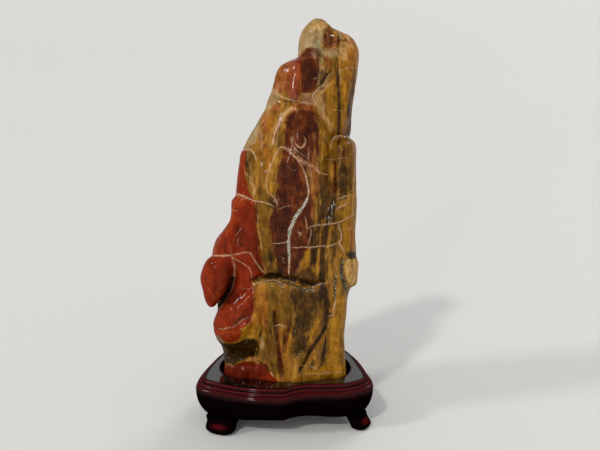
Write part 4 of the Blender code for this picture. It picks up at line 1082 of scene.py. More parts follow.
@dataclass
class Skin:
    """The stone's fine mesh: where its points are, which way they face, and the fields on them.

    The front drawing fades out where the skin turns away from the eye, over the cosines of
    front_edge, and the back drawing fades in over those of back_edge. A drawing that goes
    through the stone wanders off, across and up, between the depths of through.
    """

    mesh: bpy.types.Mesh
    sheet: Sheet
    front_edge: tuple[float, float] = (-0.12, 0.12)
    back_edge: tuple[float, float] = (0.05, 0.35)
    through: tuple[float, float] = (-10.0, 30.0)
    wander_lumps: tuple[float, float, float] = (26.0, 26.0, 46.0)
    wander_across: float = 9.0
    wander_up: float = 14.0

    def __post_init__(self) -> None:
        """Reads the mesh as it comes."""
        self.read()

    def read(self) -> None:
        """Reads points and normals, and works out what the front and the back drawing reach."""
        count = len(self.mesh.vertices)
        points = np.empty(count * 3)
        normals = np.empty(count * 3)
        self.mesh.vertices.foreach_get("co", points)
        self.mesh.vertices.foreach_get("normal", normals)
        self.points = points.reshape(-1, 3) / MM
        self.normals = normals.reshape(-1, 3)
        to_eye = np.array(self.sheet.eye) - self.points
        to_eye /= np.linalg.norm(to_eye, axis=1)[:, None]
        facing = (to_eye * self.normals).sum(1)
        self.front = step(facing, *self.front_edge)
        self.back = step(-facing, *self.back_edge)
        self.drawn = self.sheet.project(self.points)
        wander = solid_noise(self.points, self.wander_lumps, 3.1)
        depth = step(self.points[:, 1], *self.through)
        shift = [wander * self.wander_across * depth, wander * self.wander_up * depth]
        self.drawn_through = self.drawn + np.stack(shift, 1)

    def move(self, distances: np.ndarray, top: float) -> None:
        """Moves every point along its normal, kept at or below a height.

        Args:
            distances: Millimetres outwards, one per point.
            top: The highest that a point may lie, in millimetres.
        """
        moved = self.points + self.normals * distances[:, None]
        moved[:, 2] = np.minimum(moved[:, 2], top)
        self.mesh.vertices.foreach_set("co", (moved * MM).ravel())
        self.mesh.update()
        self.read()

    def store(self, name: str, values: np.ndarray) -> None:
        """Stores one number per point for the shader."""
        made = self.mesh.attributes.new(name, "FLOAT", "POINT")
        made.data.foreach_set("value", values.astype(np.float32))

    def store_triple(self, name: str, values: np.ndarray) -> None:
        """Stores three numbers per point for the shader."""
        made = self.mesh.attributes.new(name, "FLOAT_VECTOR", "POINT")
        made.data.foreach_set("vector", values.astype(np.float32).ravel())


# ---- The jasper ----------------------------------------------------------------
class JasperGraph(Graph):
    """The node tree of the jasper, with its noises from broad banks down to the finest g."""

    def __init__(self, name: str) -> None:
        """Makes the material and adds the noises."""
        super().__init__(name)
        self.plain = self.place()
        upright = self.place((1.0, 1.0, 0.16))
        self.banks = self.noise(self.place((1.0, 0.7, 0.10)), 15, 4, 0.55, 0.8)
        self.slow = self.noise(self.place((1.0, 1.0, 0.3)), 20, 3)
        self.streaks = self.noise(upright, 5.5, 6, 0.66, 0.5)
        self.hairs = self.noise(self.place((1.0, 1.0, 0.07)), 1.5, 4, 0.6)
        self.ragged = self.noise(self.place((1.0, 1.0, 0.5)), 6.5, 5, 0.62) - 0.5
        self.frayed = self.noise(upright, 2.2, 5, 0.66) - 0.5
        self.mottle = self.noise(self.place((1.0, 1.0, 0.55)), 6.5, 6, 0.70, 0.5)
        self.cloud = self.noise(self.plain, 9, 6, 0.66, 0.3)
        self.broken = self.noise(self.plain, 2.0, 4, 0.7)
        self.fine = self.noise(self.plain, 1.1, 4, 0.62)
        self.level = self.streaks * 0.36 + self.cloud * 0.44 + self.fine * 0.20


@dataclass(frozen=True)
class Tone:
    """The tones of one pigment, and how its edge is broken up.

    The field's edge is moved by rag millimetres of broad noise and by fray millimetres
    of fine upright noise, and eased over soft millimetres.
    """

    name: str
    dark: Colour
    mid: Colour
    light: Colour
    share: float = 1.0
    soft: float = 1.2
    rag: float = 4.0
    fray: float = 3.0

    def mask(self, g: JasperGraph, stored: str) -> Signal:
        """The pigment's share, from 0 to 1: its stored field, with the edge broken up by noise."""
        edge = g.attribute(stored) + g.ragged * (self.rag * 2) + g.frayed * (self.fray * 2)
        return edge.rise(-self.soft, self.soft)

    def over(self, g: JasperGraph, colour: object, share: Signal) -> bpy.types.NodeSocket:
        """A share of the pigment, in its dark, mid and light tones, laid over a colour."""
        stops = ((0.40, self.dark), (0.5, self.mid), (0.60, self.light))
        return g.blend(share, colour, g.ramp(g.level, stops))


TONES = (
    Tone("gold", rgb(106, 70, 8), rgb(156, 106, 16), rgb(196, 140, 36), 0.85, 1.6, 5.0, 5.0),
    Tone("olive", rgb(70, 45, 4), rgb(106, 71, 9), rgb(136, 98, 22), 0.85, 3.0, 7.0, 5.0),
    Tone("brown", rgb(74, 42, 9), rgb(114, 72, 18), rgb(150, 102, 36), 0.85, 2.4, 6.0, 5.0),
    Tone("khaki", rgb(134, 106, 62), rgb(158, 132, 90), rgb(180, 156, 118), 0.9, 1.8, 5.0, 4.0),
    # Light yellowish brown tones, laid in one streak as a painted highlight.
    Tone("tan", rgb(150, 106, 54), rgb(190, 144, 88), rgb(210, 172, 122), 0.8, 1.2, 4.0, 3.0),
    Tone("amber", rgb(130, 68, 14), rgb(164, 98, 26), rgb(198, 134, 46), 0.85, 3.0, 6.0, 5.0),
    Tone("rust", rgb(92, 44, 16), rgb(140, 72, 32), rgb(176, 112, 64), 0.9, 2.4, 6.0, 5.0),
    Tone("maroon", rgb(56, 22, 5), rgb(86, 35, 9), rgb(130, 66, 25), 1.0, 1.2, 4.0, 3.6),
    Tone("dusk", rgb(34, 12, 3), rgb(57, 20, 5), rgb(84, 36, 11), 0.8, 3.4, 7.0, 5.0),
    Tone("red", rgb(104, 28, 8), rgb(126, 38, 12), rgb(144, 50, 20), 1.0, 0.7, 3.0, 2.4),
    Tone("wine", rgb(80, 26, 9), rgb(112, 38, 14), rgb(132, 52, 24), 0.6, 5.0, 7.0, 3.0),
    # Dark red tones, laid partly as painted shade along the foot and in the lobe's crease.
    Tone("crimson", rgb(56, 15, 6), rgb(86, 25, 11), rgb(112, 38, 20), 0.8, 3.4, 6.0, 3.0),
    # Bright orange-red tones, laid partly as painted highlights on ridges and crests.
    Tone("blaze", rgb(110, 34, 8), rgb(134, 48, 15), rgb(164, 70, 30), 0.75, 3.4, 5.0, 2.0),
    Tone("violet", rgb(126, 88, 66), rgb(156, 116, 90), rgb(184, 144, 112), 0.6, 1.6, 3.0, 3.0),
    Tone("cream", rgb(156, 114, 58), rgb(198, 156, 96), rgb(226, 192, 138), 1.0, 0.8, 2.0, 1.0),
    Tone("umber", rgb(24, 12, 2), rgb(48, 26, 5), rgb(78, 48, 13), 0.94, 1.2, 2.2, 2.2),
    Tone("murk", rgb(32, 19, 3), rgb(62, 40, 8), rgb(110, 76, 22), 0.85, 2.6, 8.0, 6.0),
    # Painted shade: the near-black tones laid in recesses and undercuts.
    Tone("shade", rgb(15, 7, 2), rgb(28, 15, 4), rgb(64, 42, 15), 0.94, 1.4, 4.0, 4.0),
    Tone("ash", rgb(120, 110, 76), rgb(144, 134, 98), rgb(164, 154, 116), 0.7, 0.8, 1.5, 1.0),
)


@dataclass(frozen=True)
class PolishedJasper:
    """The finish of the stone: polished jasper, its pigments and its quartz veins."""

    tones: tuple[Tone, ...] = TONES
    ground: Stops = (
        (0.32, rgb(76, 47, 9)), (0.43, rgb(120, 80, 20)), (0.52, rgb(154, 106, 32)),
        (0.61, rgb(180, 130, 48)), (0.72, rgb(202, 156, 80)),
    )
    quartz: Stops = (
        (0.36, rgb(120, 92, 60)), (0.46, rgb(172, 140, 102)), (0.56, rgb(204, 180, 144)),
        (0.66, rgb(228, 216, 196)),
    )
    frost: Stops = (
        (0.37, rgb(44, 38, 28)), (0.44, rgb(124, 120, 104)), (0.52, rgb(178, 178, 166)),
        (0.62, rgb(226, 228, 220)),
    )
    shards: Stops = (
        (0.42, rgb(20, 16, 8)), (0.50, rgb(60, 50, 32)), (0.58, rgb(120, 112, 88)),
        (0.66, rgb(200, 200, 182)),
    )
    bloom: Stops = ((0.36, (1.0, 1.0, 1.0)), (0.5, (0.95, 0.94, 0.91)), (0.64, (0.66, 0.60, 0.50)))
    strand: Stops = ((0.46, (1.0, 1.0, 1.0)), (0.64, (0.72, 0.66, 0.56)))
    back_banks: tuple[tuple[str, float, float], ...] = (
        ("olive", 0.47, 0.40), ("brown", 0.55, 0.60), ("rust", 0.60, 0.66),
    )
    drawn_on_back: tuple[str, ...] = ("maroon", "umber")
    relief_mm: float = 0.17
    coat_weight: float = 0.26
    least_coat: float = 0.04

    def material(self) -> bpy.types.Material:
        """Builds the node tree.

        Returns:
            The material.
        """
        g = JasperGraph("polished_jasper")
        colour = self.stained(g, self.mottled(g, self.banded(g)))
        colour, vein = self.veined(g, colour)
        cavity = g.attribute("cavity")
        # Painted shade: the colour is darkened towards near black in the clefts, by how deep each is cut.
        colour = g.blend((cavity * 0.9).at_most(0.85), colour, rgb(20, 11, 5))
        dull = g.attribute("khaki").rise(-2, 2).at_least(g.attribute("cream").rise(-1, 1)).at_least(cavity)
        coat = self.coat_weight - dull * 0.2 - vein * 0.1 - g.attribute("red").rise(-1, 2) * 0.12
        height = g.streaks * 0.35 + g.fine * 0.25 + g.broken * 0.15 + vein * 0.35
        return g.finish(
            base_color=colour,
            roughness=0.34 + g.fine * 0.18 + vein * 0.15 + dull * 0.2,
            specular_ior_level=0.0,
            normal=g.bump(height, self.relief_mm, 0.6),
            coat_weight=coat.at_least(self.least_coat) + g.attribute("sheen") * 0.7,
            coat_roughness=0.08,
            coat_ior=1.5,
            ior=1.5,
        )

    def banded(self, g: JasperGraph) -> bpy.types.NodeSocket:
        """The ochre ground with every pigment laid over it.

        Args:
            g: The jasper's node tree.

        Returns:
            The colour socket.
        """
        colour = g.ramp(g.streaks * 0.7 + g.slow * 0.3, self.ground)
        colour = g.blend(g.hairs.rise(0.52, 0.66) * 0.34, colour, rgb(74, 48, 12))
        colour = g.blend((1 - g.hairs).rise(0.54, 0.68) * 0.26, colour, rgb(184, 138, 66))
        away = g.attribute("away")
        named = {tone.name: tone for tone in self.tones}
        for name, low, high in self.back_banks:
            colour = named[name].over(g, colour, g.banks.rise(low, high) * away * 0.8)
        for tone in self.tones:
            share = tone.mask(g, tone.name)
            if tone.name in self.drawn_on_back:
                share = share.at_least(tone.mask(g, tone.name + "_back"))
            colour = tone.over(g, colour, share * tone.share)
        return colour

    def mottled(self, g: JasperGraph, colour: object) -> bpy.types.NodeSocket:
        """The colour with its mottling, dark strands, specks and pores, calmer in the even pigments.

        Args:
            g: The jasper's node tree.
            colour: The colour to work on.

        Returns:
            The colour socket.
        """
        calm = g.attribute("red").rise(-1, 2)
        calm = calm.at_least(g.attribute("gold").rise(0, 3) * 0.7)
        calm = calm.at_least(g.attribute("khaki").rise(-1, 2) * 0.8)
        colour = g.blend(1 - calm * 0.7, colour, g.ramp(g.mottle, self.bloom), "MULTIPLY")
        colour = g.blend(0.30 - calm * 0.20, colour, g.ramp(g.hairs, self.strand), "MULTIPLY")
        specks = (1 - g.cells(g.plain, 2.6)).rise(0.80, 0.94) * g.fine.rise(0.46, 0.6)
        colour = g.blend(specks * 0.5, colour, rgb(52, 28, 10))
        upright = g.place((1.0, 1.0, 0.5))
        pores = (1 - g.cells(upright, 4.1)).rise(0.86, 0.97) * g.broken.rise(0.48, 0.62)
        return g.blend(pores * 0.5, colour, rgb(214, 176, 120))

    def stained(self, g: JasperGraph, colour: object) -> bpy.types.NodeSocket:
        """The colour with its pinkish stains, a few of them painted highlights along ridges and the lobe's
        lip and cleft, and the grey shards along the ledge.

        Args:
            g: The jasper's node tree.
            colour: The colour to work on.

        Returns:
            The colour socket.
        """
        # Painted highlight in part: some of the pinkish streaks lighten the lit ridges.
        rosy = (g.attribute("rosy") + g.ragged * 3 + g.frayed * 3).rise(-0.9, 0.9)
        colour = g.blend(rosy * g.broken.rise(0.40, 0.62) * 0.62, colour, rgb(196, 128, 98))
        gley = (g.attribute("gley") + g.ragged * 3).rise(-0.7, 0.7)
        return g.blend(gley * 0.86, colour, g.ramp(g.broken * 0.6 + g.fine * 0.4, self.shards))

    def veined(self, g: JasperGraph, colour: object) -> tuple[bpy.types.NodeSocket, Signal]:
        """The colour with its quartz veins: frosted where they are thick, creamy where they are thin; a few
        fine lines among them are painted highlights.

        Args:
            g: The jasper's node tree.
            colour: The colour to work on.

        Returns:
            The colour socket, and where the veins lie.
        """
        tremble = (g.broken - 0.5) * 1.5 + g.ragged * 1.2
        vein = (g.attribute("pale") + g.ragged * 3 + g.frayed * 2).rise(-0.8, 0.6)
        vein = vein * g.broken.rise(0.53, 0.64)
        thick, halos = [], []
        for name, share in (("great", 1.0), ("long", 0.9), ("fine", 0.8), ("back", 1.0)):
            side, near, half = g.triple("veins_" + name)
            gap = abs(side + tremble) - half * (0.25 + g.broken * 1.5)
            line = gap.rise(0.20, -0.12) * near.rise(3.4, 2.4) * g.fine.rise(0.24, 0.50)
            vein = vein.at_least(line * share)
            thick.append(half.rise(0.7, 1.3) * near.rise(3.0, 2.0))
            halos.append(gap.rise(1.8, 0.2) * near.rise(3.6, 2.2) * half.rise(0.0, 0.5) * share)
        colour = g.blend(reduce(Signal.at_least, halos) * 0.22, colour, rgb(190, 130, 92))
        quartz = g.ramp(g.fine * 0.6 + g.broken * 0.4, self.quartz)
        frost = g.ramp(g.broken * 0.6 + g.fine * 0.4, self.frost)
        mineral = g.blend(reduce(Signal.at_least, thick), quartz, frost)
        return g.blend(vein * 0.94, colour, mineral), vein



@dataclass
class Stone:
    """The upright stone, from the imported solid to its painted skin.

    The relief fades out between the two heights of seat, so that the foot keeps to its socket.
    The first shapes of the pale pigment, ledge_lips of them, lie on the ledge's chipped lip.
    """

    cell: float = 1.36
    rounding: int = 4
    weld_gap: float = 0.00001
    seat: tuple[float, float] = (58.0, 66.0)
    top_gap: float = 0.02
    cleft_shade_depth: float = 2.4
    ledge_lips: int = 2
    sheet: Sheet = field(default_factory=Sheet)
    finish: PolishedJasper = field(default_factory=PolishedJasper)

    def refined(self) -> bpy.types.Mesh:
        """A fine, even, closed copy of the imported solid.

        Returns:
            The mesh.
        """
        rough = placed("rough_stone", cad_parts["rock"].data.copy())
        weld = rough.modifiers.new("weld", "WELD")
        weld.merge_threshold = self.weld_gap
        round_off = rough.modifiers.new("round_off", "SUBSURF")
        round_off.levels = round_off.render_levels = 1
        even = rough.modifiers.new("even", "REMESH")
        even.mode = "VOXEL"
        even.voxel_size = self.cell * MM
        ease = rough.modifiers.new("ease", "SMOOTH")
        ease.factor = 0.5
        ease.iterations = self.rounding
        graph = bpy.context.evaluated_depsgraph_get()
        mesh = bpy.data.meshes.new_from_object(rough.evaluated_get(graph))
        bpy.data.objects.remove(rough)
        return mesh

    def relief(self, skin: Skin) -> np.ndarray:
        """The low flutes, ridges and lumps of the surface, fainter where the red is polished.

        Args:
            skin: The skin to work.

        Returns:
            Millimetres outwards, one per point.
        """
        move = 0.45 * solid_noise(skin.points, (9, 9, 40), 1.7)
        ridges = 1 - np.abs(solid_noise(skin.points, (7, 7, 52), 5.3)) * 2
        move += 0.35 * ridges
        move += 0.28 * solid_noise(skin.points, (4.5, 4.5, 9), 9.1)
        return move * (1 - 0.6 * step(inside_any(RED.shapes, skin.drawn), -3, 3))

    def crests(self, skin: Skin) -> tuple[np.ndarray, np.ndarray]:
        """The crests that stand out from the skin and catch the light.

        Args:
            skin: The skin to work.

        Returns:
            Millimetres outwards, and how much sheen they take, one of each per point.
        """
        shapes = [skin.front * line.shape(skin.drawn) for line in CRESTS]
        raised = [line.depth * shape for line, shape in zip(CRESTS, shapes)]
        return np.max(raised, axis=0), np.max(shapes, axis=0) ** 2

    def cuts(self, skin: Skin) -> np.ndarray:
        """The clefts of the front and of the back, along lines that waver a little.

        Args:
            skin: The skin to work.

        Returns:
            Millimetres inwards, one per point.
        """
        waver = 0.9 * solid_noise(skin.points, (5, 5, 7), 2.9)
        cut = np.zeros(len(skin.points))
        for clefts, weight in ((CLEFTS, skin.front), (BACK_CLEFTS, skin.back)):
            for cleft in clefts:
                cut = np.maximum(cut, cleft.depth * weight * cleft.shape(skin.drawn, waver))
        return cut

    def work(self, skin: Skin) -> None:
        """Works the surface: flutes, crests, swells, chips along the ledge, and clefts.

        Args:
            skin: The skin to work.
        """
        crest, sheen = self.crests(skin)
        cut = self.cuts(skin)
        move = self.relief(skin) * (1 - 0.8 * sheen) + crest
        for swell in SWELLS:
            move += swell.rise * skin.front * step(swell.shape.field(skin.drawn), -swell.soft, swell.soft)
        chips = step(inside_any(PALE.shapes[: self.ledge_lips], skin.drawn), -3, 1) * skin.front
        move -= chips * (0.5 + 0.9 * np.abs(solid_noise(skin.points, (2.6, 2.6, 2.6), 4.4)))
        seated = step(skin.points[:, 2], *self.seat)
        move = move * seated - cut * np.clip(seated + 0.3, 0, 1)
        skin.move(move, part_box("rock")[1].z / MM - self.top_gap)
        # The depth of the clefts, stored for the painted shade that darkens them.
        skin.store("cavity", np.clip(cut / self.cleft_shade_depth, 0, 1) ** 1.4)
        skin.store("sheen", sheen)

    def build(self) -> bpy.types.Object:
        """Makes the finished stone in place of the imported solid.

        Returns:
            The stone.
        """
        mesh = self.refined()
        skin = Skin(mesh, self.sheet)
        self.work(skin)
        for pigment in (*FRONT_PIGMENTS, *BACK_PIGMENTS):
            pigment.paint(skin)
        painted_group(skin, "veins_great", GREAT_VEINS, Face.FRONT)
        painted_group(skin, "veins_long", LONG_VEINS, Face.FRONT)
        painted_group(skin, "veins_fine", FINE_VEINS_AND_HIGHLIGHTS, Face.FRONT)
        painted_group(skin, "veins_back", BACK_VEINS, Face.BACK)
        skin.store("away", skin.back)
        mesh.materials.clear()
        mesh.materials.append(self.finish.material())
        mesh.shade_smooth()
        stone = placed("stone", mesh)
        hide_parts("rock")
        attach(stone, "root")
        return stone


# ---- The stand -----------------------------------------------------------------
def eased(values: np.ndarray) -> np.ndarray:
    """Values round a ring, each drawn towards its two neighbours."""
    return (np.roll(values, 1) + 2 * values + np.roll(values, -1)) / 4


def closed_spline(points: Path, count: int) -> np.ndarray:
    """The smooth closed curve through plan points.

    Args:
        points: The plan's points, counter-clockwise.
        count: How many evenly spaced points to return.

    Returns:
        Rows of x and y.
    """
    knots = np.array(points, float)
    steps = np.linspace(0, 1, 24, endpoint=False)[:, None]
    runs = zip(np.roll(knots, 1, 0), knots, np.roll(knots, -1, 0), np.roll(knots, -2, 0))
    made = np.concatenate([spline(run, steps) for run in runs])
    closed = np.vstack([made, made[:1]])
    along = np.concatenate([[0], np.cumsum(np.linalg.norm(np.diff(closed, axis=0), axis=1))])
    wanted = np.linspace(0, along[-1], count, endpoint=False)
    return np.stack([np.interp(wanted, along, closed[:, k]) for k in (0, 1)], 1)


def inset(plan: np.ndarray, distance: float) -> np.ndarray:
    """A counter-clockwise plan moved inwards square to itself."""
    tangent = np.roll(plan, -1, 0) - np.roll(plan, 1, 0)
    inward = np.stack([-tangent[:, 1], tangent[:, 0]], 1)
    return plan + inward / np.linalg.norm(inward, axis=1)[:, None] * distance


@dataclass
class Loft:
    """Closed rings of equal length, skinned upwards, each with the lacquer's tint and gloss."""

    rings: list[np.ndarray] = field(default_factory=list)
    looks: list[np.ndarray] = field(default_factory=list)
    sharp_degrees: float = 42.0

    def add(self, plan: np.ndarray, height: float | np.ndarray, tint: float | np.ndarray = 0.0,
            gloss: float = 0.1) -> None:
        """Adds a ring at a height in millimetres.

        Args:
            plan: The ring's points from above.
            height: Its height, one for all or one for each point.
            tint: How red it is, one for all or one for each point.
            gloss: How glossy it is.
        """
        self.rings.append(np.column_stack([plan, np.full(len(plan), height)]))
        self.looks.append(np.stack([np.broadcast_to(look, len(plan)) for look in (tint, gloss)], 1))

    def mesh(self, name: str, lid: bool = True) -> bpy.types.Mesh:
        """Skins the rings, caps the ends and stores the tint and the gloss.

        Args:
            name: The mesh's name.
            lid: Whether the top is capped as well as the bottom.

        Returns:
            The mesh.
        """
        bm = bmesh.new()
        rows = [[bm.verts.new(Vector(point) * MM) for point in ring] for ring in self.rings]
        count = len(rows[0])
        for below, above in zip(rows, rows[1:]):
            for i in range(count):
                j = (i + 1) % count
                bm.faces.new((below[i], below[j], above[j], above[i]))
        for rim, flip in ((rows[0], lid), (rows[-1], False))[: 2 if lid else 1]:
            middle = bm.verts.new(sum((v.co for v in rim), Vector()) / count)
            for i in range(count):
                corner = (rim[i], rim[(i + 1) % count], middle)
                bm.faces.new(tuple(reversed(corner)) if flip else corner)
        mesh = bpy.data.meshes.new(name)
        bm.to_mesh(mesh)
        bm.free()
        looks = np.vstack([*self.looks, self.looks[0][:1], self.looks[-1][:1]])[: len(mesh.vertices)]
        for column, kind in enumerate(("tint", "gloss")):
            made = mesh.attributes.new(kind, "FLOAT", "POINT")
            made.data.foreach_set("value", looks[:, column].astype(np.float32))
        mesh.shade_smooth()
        mesh.set_sharp_from_angle(angle=math.radians(self.sharp_degrees))
        return mesh


@dataclass(frozen=True)
class Lacquer:
    """The finish of the stand: hardwood under near-black lacquer, with wine red painted where the reddish
    lacquer catches the light, on mouldings, shoulder and feet.
    """

    black: Colour = rgb(5, 2, 3)
    wine: Colour = rgb(74, 12, 16)
    brown_grain: Colour = rgb(20, 5, 6)
    wine_grain: Colour = rgb(44, 6, 9)
    dust: Colour = rgb(140, 120, 112)
    relief_mm: float = 0.14
    grain_axis: tuple[float, float, float] = (0.06, 1.0, 1.0)

    def material(self, name: str) -> bpy.types.Material:
        """Builds the node tree.

        Args:
            name: The material's name.

        Returns:
            The material.
        """
        g = Graph(name)
        plain = g.place()
        grain = g.noise(g.place(self.grain_axis), 1.6, 5, 0.6, 0.2)
        cloud = g.noise(plain, 24, 3)
        wear = g.noise(plain, 5, 4, 0.6)
        dust = g.noise(plain, 0.7, 2)
        # Painted light: wine red where the tint says the reddish lacquer catches the light, broken up by
        # the wear and cloud noise.
        red_where_lit = (g.attribute("tint") * (0.45 + wear * 1.1) + (cloud - 0.5) * 0.4).rise(0.15, 0.95)
        colour = g.blend(grain.rise(0.35, 0.75) * 0.5, self.black, self.brown_grain)
        colour = g.blend(red_where_lit, colour, self.wine)
        colour = g.blend(grain.rise(0.55, 0.8) * red_where_lit * 0.5, colour, self.wine_grain)
        colour = g.blend(dust.rise(0.66, 0.8) * 0.06, colour, self.dust)
        return g.finish(
            base_color=colour,
            roughness=0.3 + wear * 0.14 + dust * 0.05,
            specular_ior_level=0.0,
            normal=g.bump(grain * 0.5 + wear * 0.5, self.relief_mm, 0.5),
            coat_weight=(g.attribute("gloss") - wear * 0.1).at_least(0.0),
            coat_roughness=0.08,
            coat_ior=2.1,
            ior=1.5,
        )


@dataclass
class StandBody:
    """The carved body of the stand: belly, shoulder, stepped mouldings, top plate and socket.

    Each moulding, and each step of the socket's rim, has an inset or a widening, a height or
    a drop below the top, and a tint. The underside arches up by arch between the feet.
    """

    plan: Path = (
        (-100, -43), (-88, -54), (-62, -66), (-36, -73), (-12, -75), (3, -74), (12, -68),
        (26, -63.5), (48, -63), (70, -61), (89, -52), (99.6, -42), (100.8, -26), (96.5, -6),
        (90.5, 20), (83.5, 40), (71, 60), (46, 71), (8, 74.5), (-32, 73.5), (-62, 65),
        (-80, 46), (-90, 19), (-96, -2), (-100.4, -24),
    )
    foot_height: float = 15.5
    arch: float = 2.6
    shoulder_height: float = 45.6
    height: float = 57.0
    socket_floor: float = 45.0
    belly_inset: float = 10.5
    belly_rings: int = 14
    belly_start: float = 0.35
    shoulder_rings: int = 7
    shoulder_turn: float = 84.0
    shoulder_deep: float = 3.1
    shoulder_high: float = 4.4
    mouldings: tuple[tuple[float, float, float], ...] = (
        (3.5, 50.05, 0.95), (4.2, 50.15, 0.55), (4.8, 50.5, 0.3), (5.0, 51.0, 0.45), (4.95, 51.8, 0.8),
        (5.05, 52.4, 1.0), (5.4, 52.85, 1.0), (6.1, 53.05, 0.7), (7.2, 53.1, 0.35), (8.0, 53.3, 0.25),
        (8.35, 53.9, 0.4), (8.35, 55.2, 0.6), (8.5, 56.0, 0.9), (9.0, 56.65, 1.0), (9.8, 56.95, 0.6),
    )
    plate_inset: float = 11.0
    plate_rings: tuple[float, ...] = (0.12, 0.35, 0.6, 0.85)
    rim: tuple[tuple[float, float, float], ...] = (
        (0.5, 0.0, 0.5), (0.15, 0.15, 0.8), (0.0, 0.6, 0.6), (0.0, 4.0, 0.1),
    )
    socket_gap: float = 0.9
    socket_ends: float = 2.7
    box_gap: float = 0.04
    around: int = 264

    def outline(self) -> np.ndarray:
        """The plan at its widest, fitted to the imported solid's box.

        Returns:
            Rows of x and y.
        """
        plan = closed_spline(self.plan, self.around)
        plan -= (plan.min(0) + plan.max(0)) / 2
        low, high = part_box("stand_body")
        size = np.array([high.x - low.x, high.y - low.y]) / MM - self.box_gap
        return plan * size / (plan.max(0) - plan.min(0))

    def profile(self) -> list[tuple[float, float, float]]:
        """The outer profile, from the underside up to the top plate.

        Returns:
            Inset, height and tint of each ring.
        """
        rows = [(30.0, self.foot_height, 0.0), (self.belly_inset + 0.8, self.foot_height, 0.1)]
        lowest = self.foot_height + self.belly_start
        for k in range(self.belly_rings + 1):
            u = (k / self.belly_rings) ** 1.25
            height = lowest + (self.shoulder_height - lowest) * u
            # The tint is painted light: red on the upper belly and shoulder, where they catch the light,
            # and a little near the underside.
            tint = 0.2 * (1 - u) ** 4 + 1.1 * max(0.0, u - 0.68)
            rows.append((self.belly_inset * (1 - u) ** 2.4, height, tint))
        for k in range(1, self.shoulder_rings + 1):
            share = k / self.shoulder_rings
            turn = math.radians(self.shoulder_turn * share)
            height = self.shoulder_height + self.shoulder_high * math.sin(turn)
            rows.append((self.shoulder_deep * (1 - math.cos(turn)), height, 0.4 + 0.3 * share))
        return [*rows, *self.mouldings, (self.plate_inset, self.height, 0.12)]

    def socket(self) -> np.ndarray:
        """Outline of the socket: the stone's foot from above, eased outwards and smoothed.

        Returns:
            Rows of x and y, one for each point of the plan.
        """
        points = np.array([v.co[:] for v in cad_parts["rock"].data.vertices]) / MM
        foot = points[points[:, 2] < self.height + 1.0]
        reach, heading = np.hypot(foot[:, 0], foot[:, 1]), np.arctan2(foot[:, 1], foot[:, 0])
        angles = np.linspace(-math.pi, math.pi, 60, endpoint=False)
        gaps = np.abs((heading[None, :] - angles[:, None] + math.pi) % (2 * math.pi) - math.pi)
        radius = np.array([reach[row < 0.13].max() for row in gaps])
        widened = np.maximum(eased(eased(eased(radius))), radius)
        radius = widened + self.socket_gap + self.socket_ends * np.abs(np.cos(angles)) ** 6
        for _ in range(2):
            radius = np.maximum(eased(radius), radius - 0.4)
        plan = self.outline()
        wanted = np.arctan2(plan[:, 1], plan[:, 0])
        fitted = np.interp(wanted, np.append(angles, math.pi), np.append(radius, radius[0]))
        for _ in range(6):
            fitted = eased(fitted)
        return np.stack([np.cos(wanted) * fitted, np.sin(wanted) * fitted], 1)

    def build(self, finish: Lacquer) -> bpy.types.Object:
        """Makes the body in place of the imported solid.

        Args:
            finish: The lacquer.

        Returns:
            The body.
        """
        plan, socket, loft = self.outline(), self.socket(), Loft()
        middle = np.exp(-((plan[:, 0] / 46.0) ** 4)) + np.exp(-((plan[:, 1] / 26.0) ** 4))
        for distance, height, tint in self.profile():
            gloss = 0.02 + 0.10 * min(1.0, max(0.0, (height - 40.0) / 6.0))
            low = max(0.0, 1 - (height - self.foot_height) / 9.0) ** 1.5
            loft.add(inset(plan, distance), height + self.arch * low * middle.clip(0, 1), tint, gloss)
        edge = inset(plan, self.plate_inset)
        for share in self.plate_rings:
            loft.add(edge + (socket - edge) * share, self.height, 0.1, 1.0)
        for wider, drop, tint in self.rim:
            loft.add(inset(socket, -wider), self.height - drop, tint, 0.15)
        loft.add(socket, self.socket_floor + 0.1, 0.0)
        body = placed("carved_body", loft.mesh("carved_body"))
        body.data.materials.append(finish.material("lacquered_body"))
        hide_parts("stand_body")
        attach(body, "root")
        return body


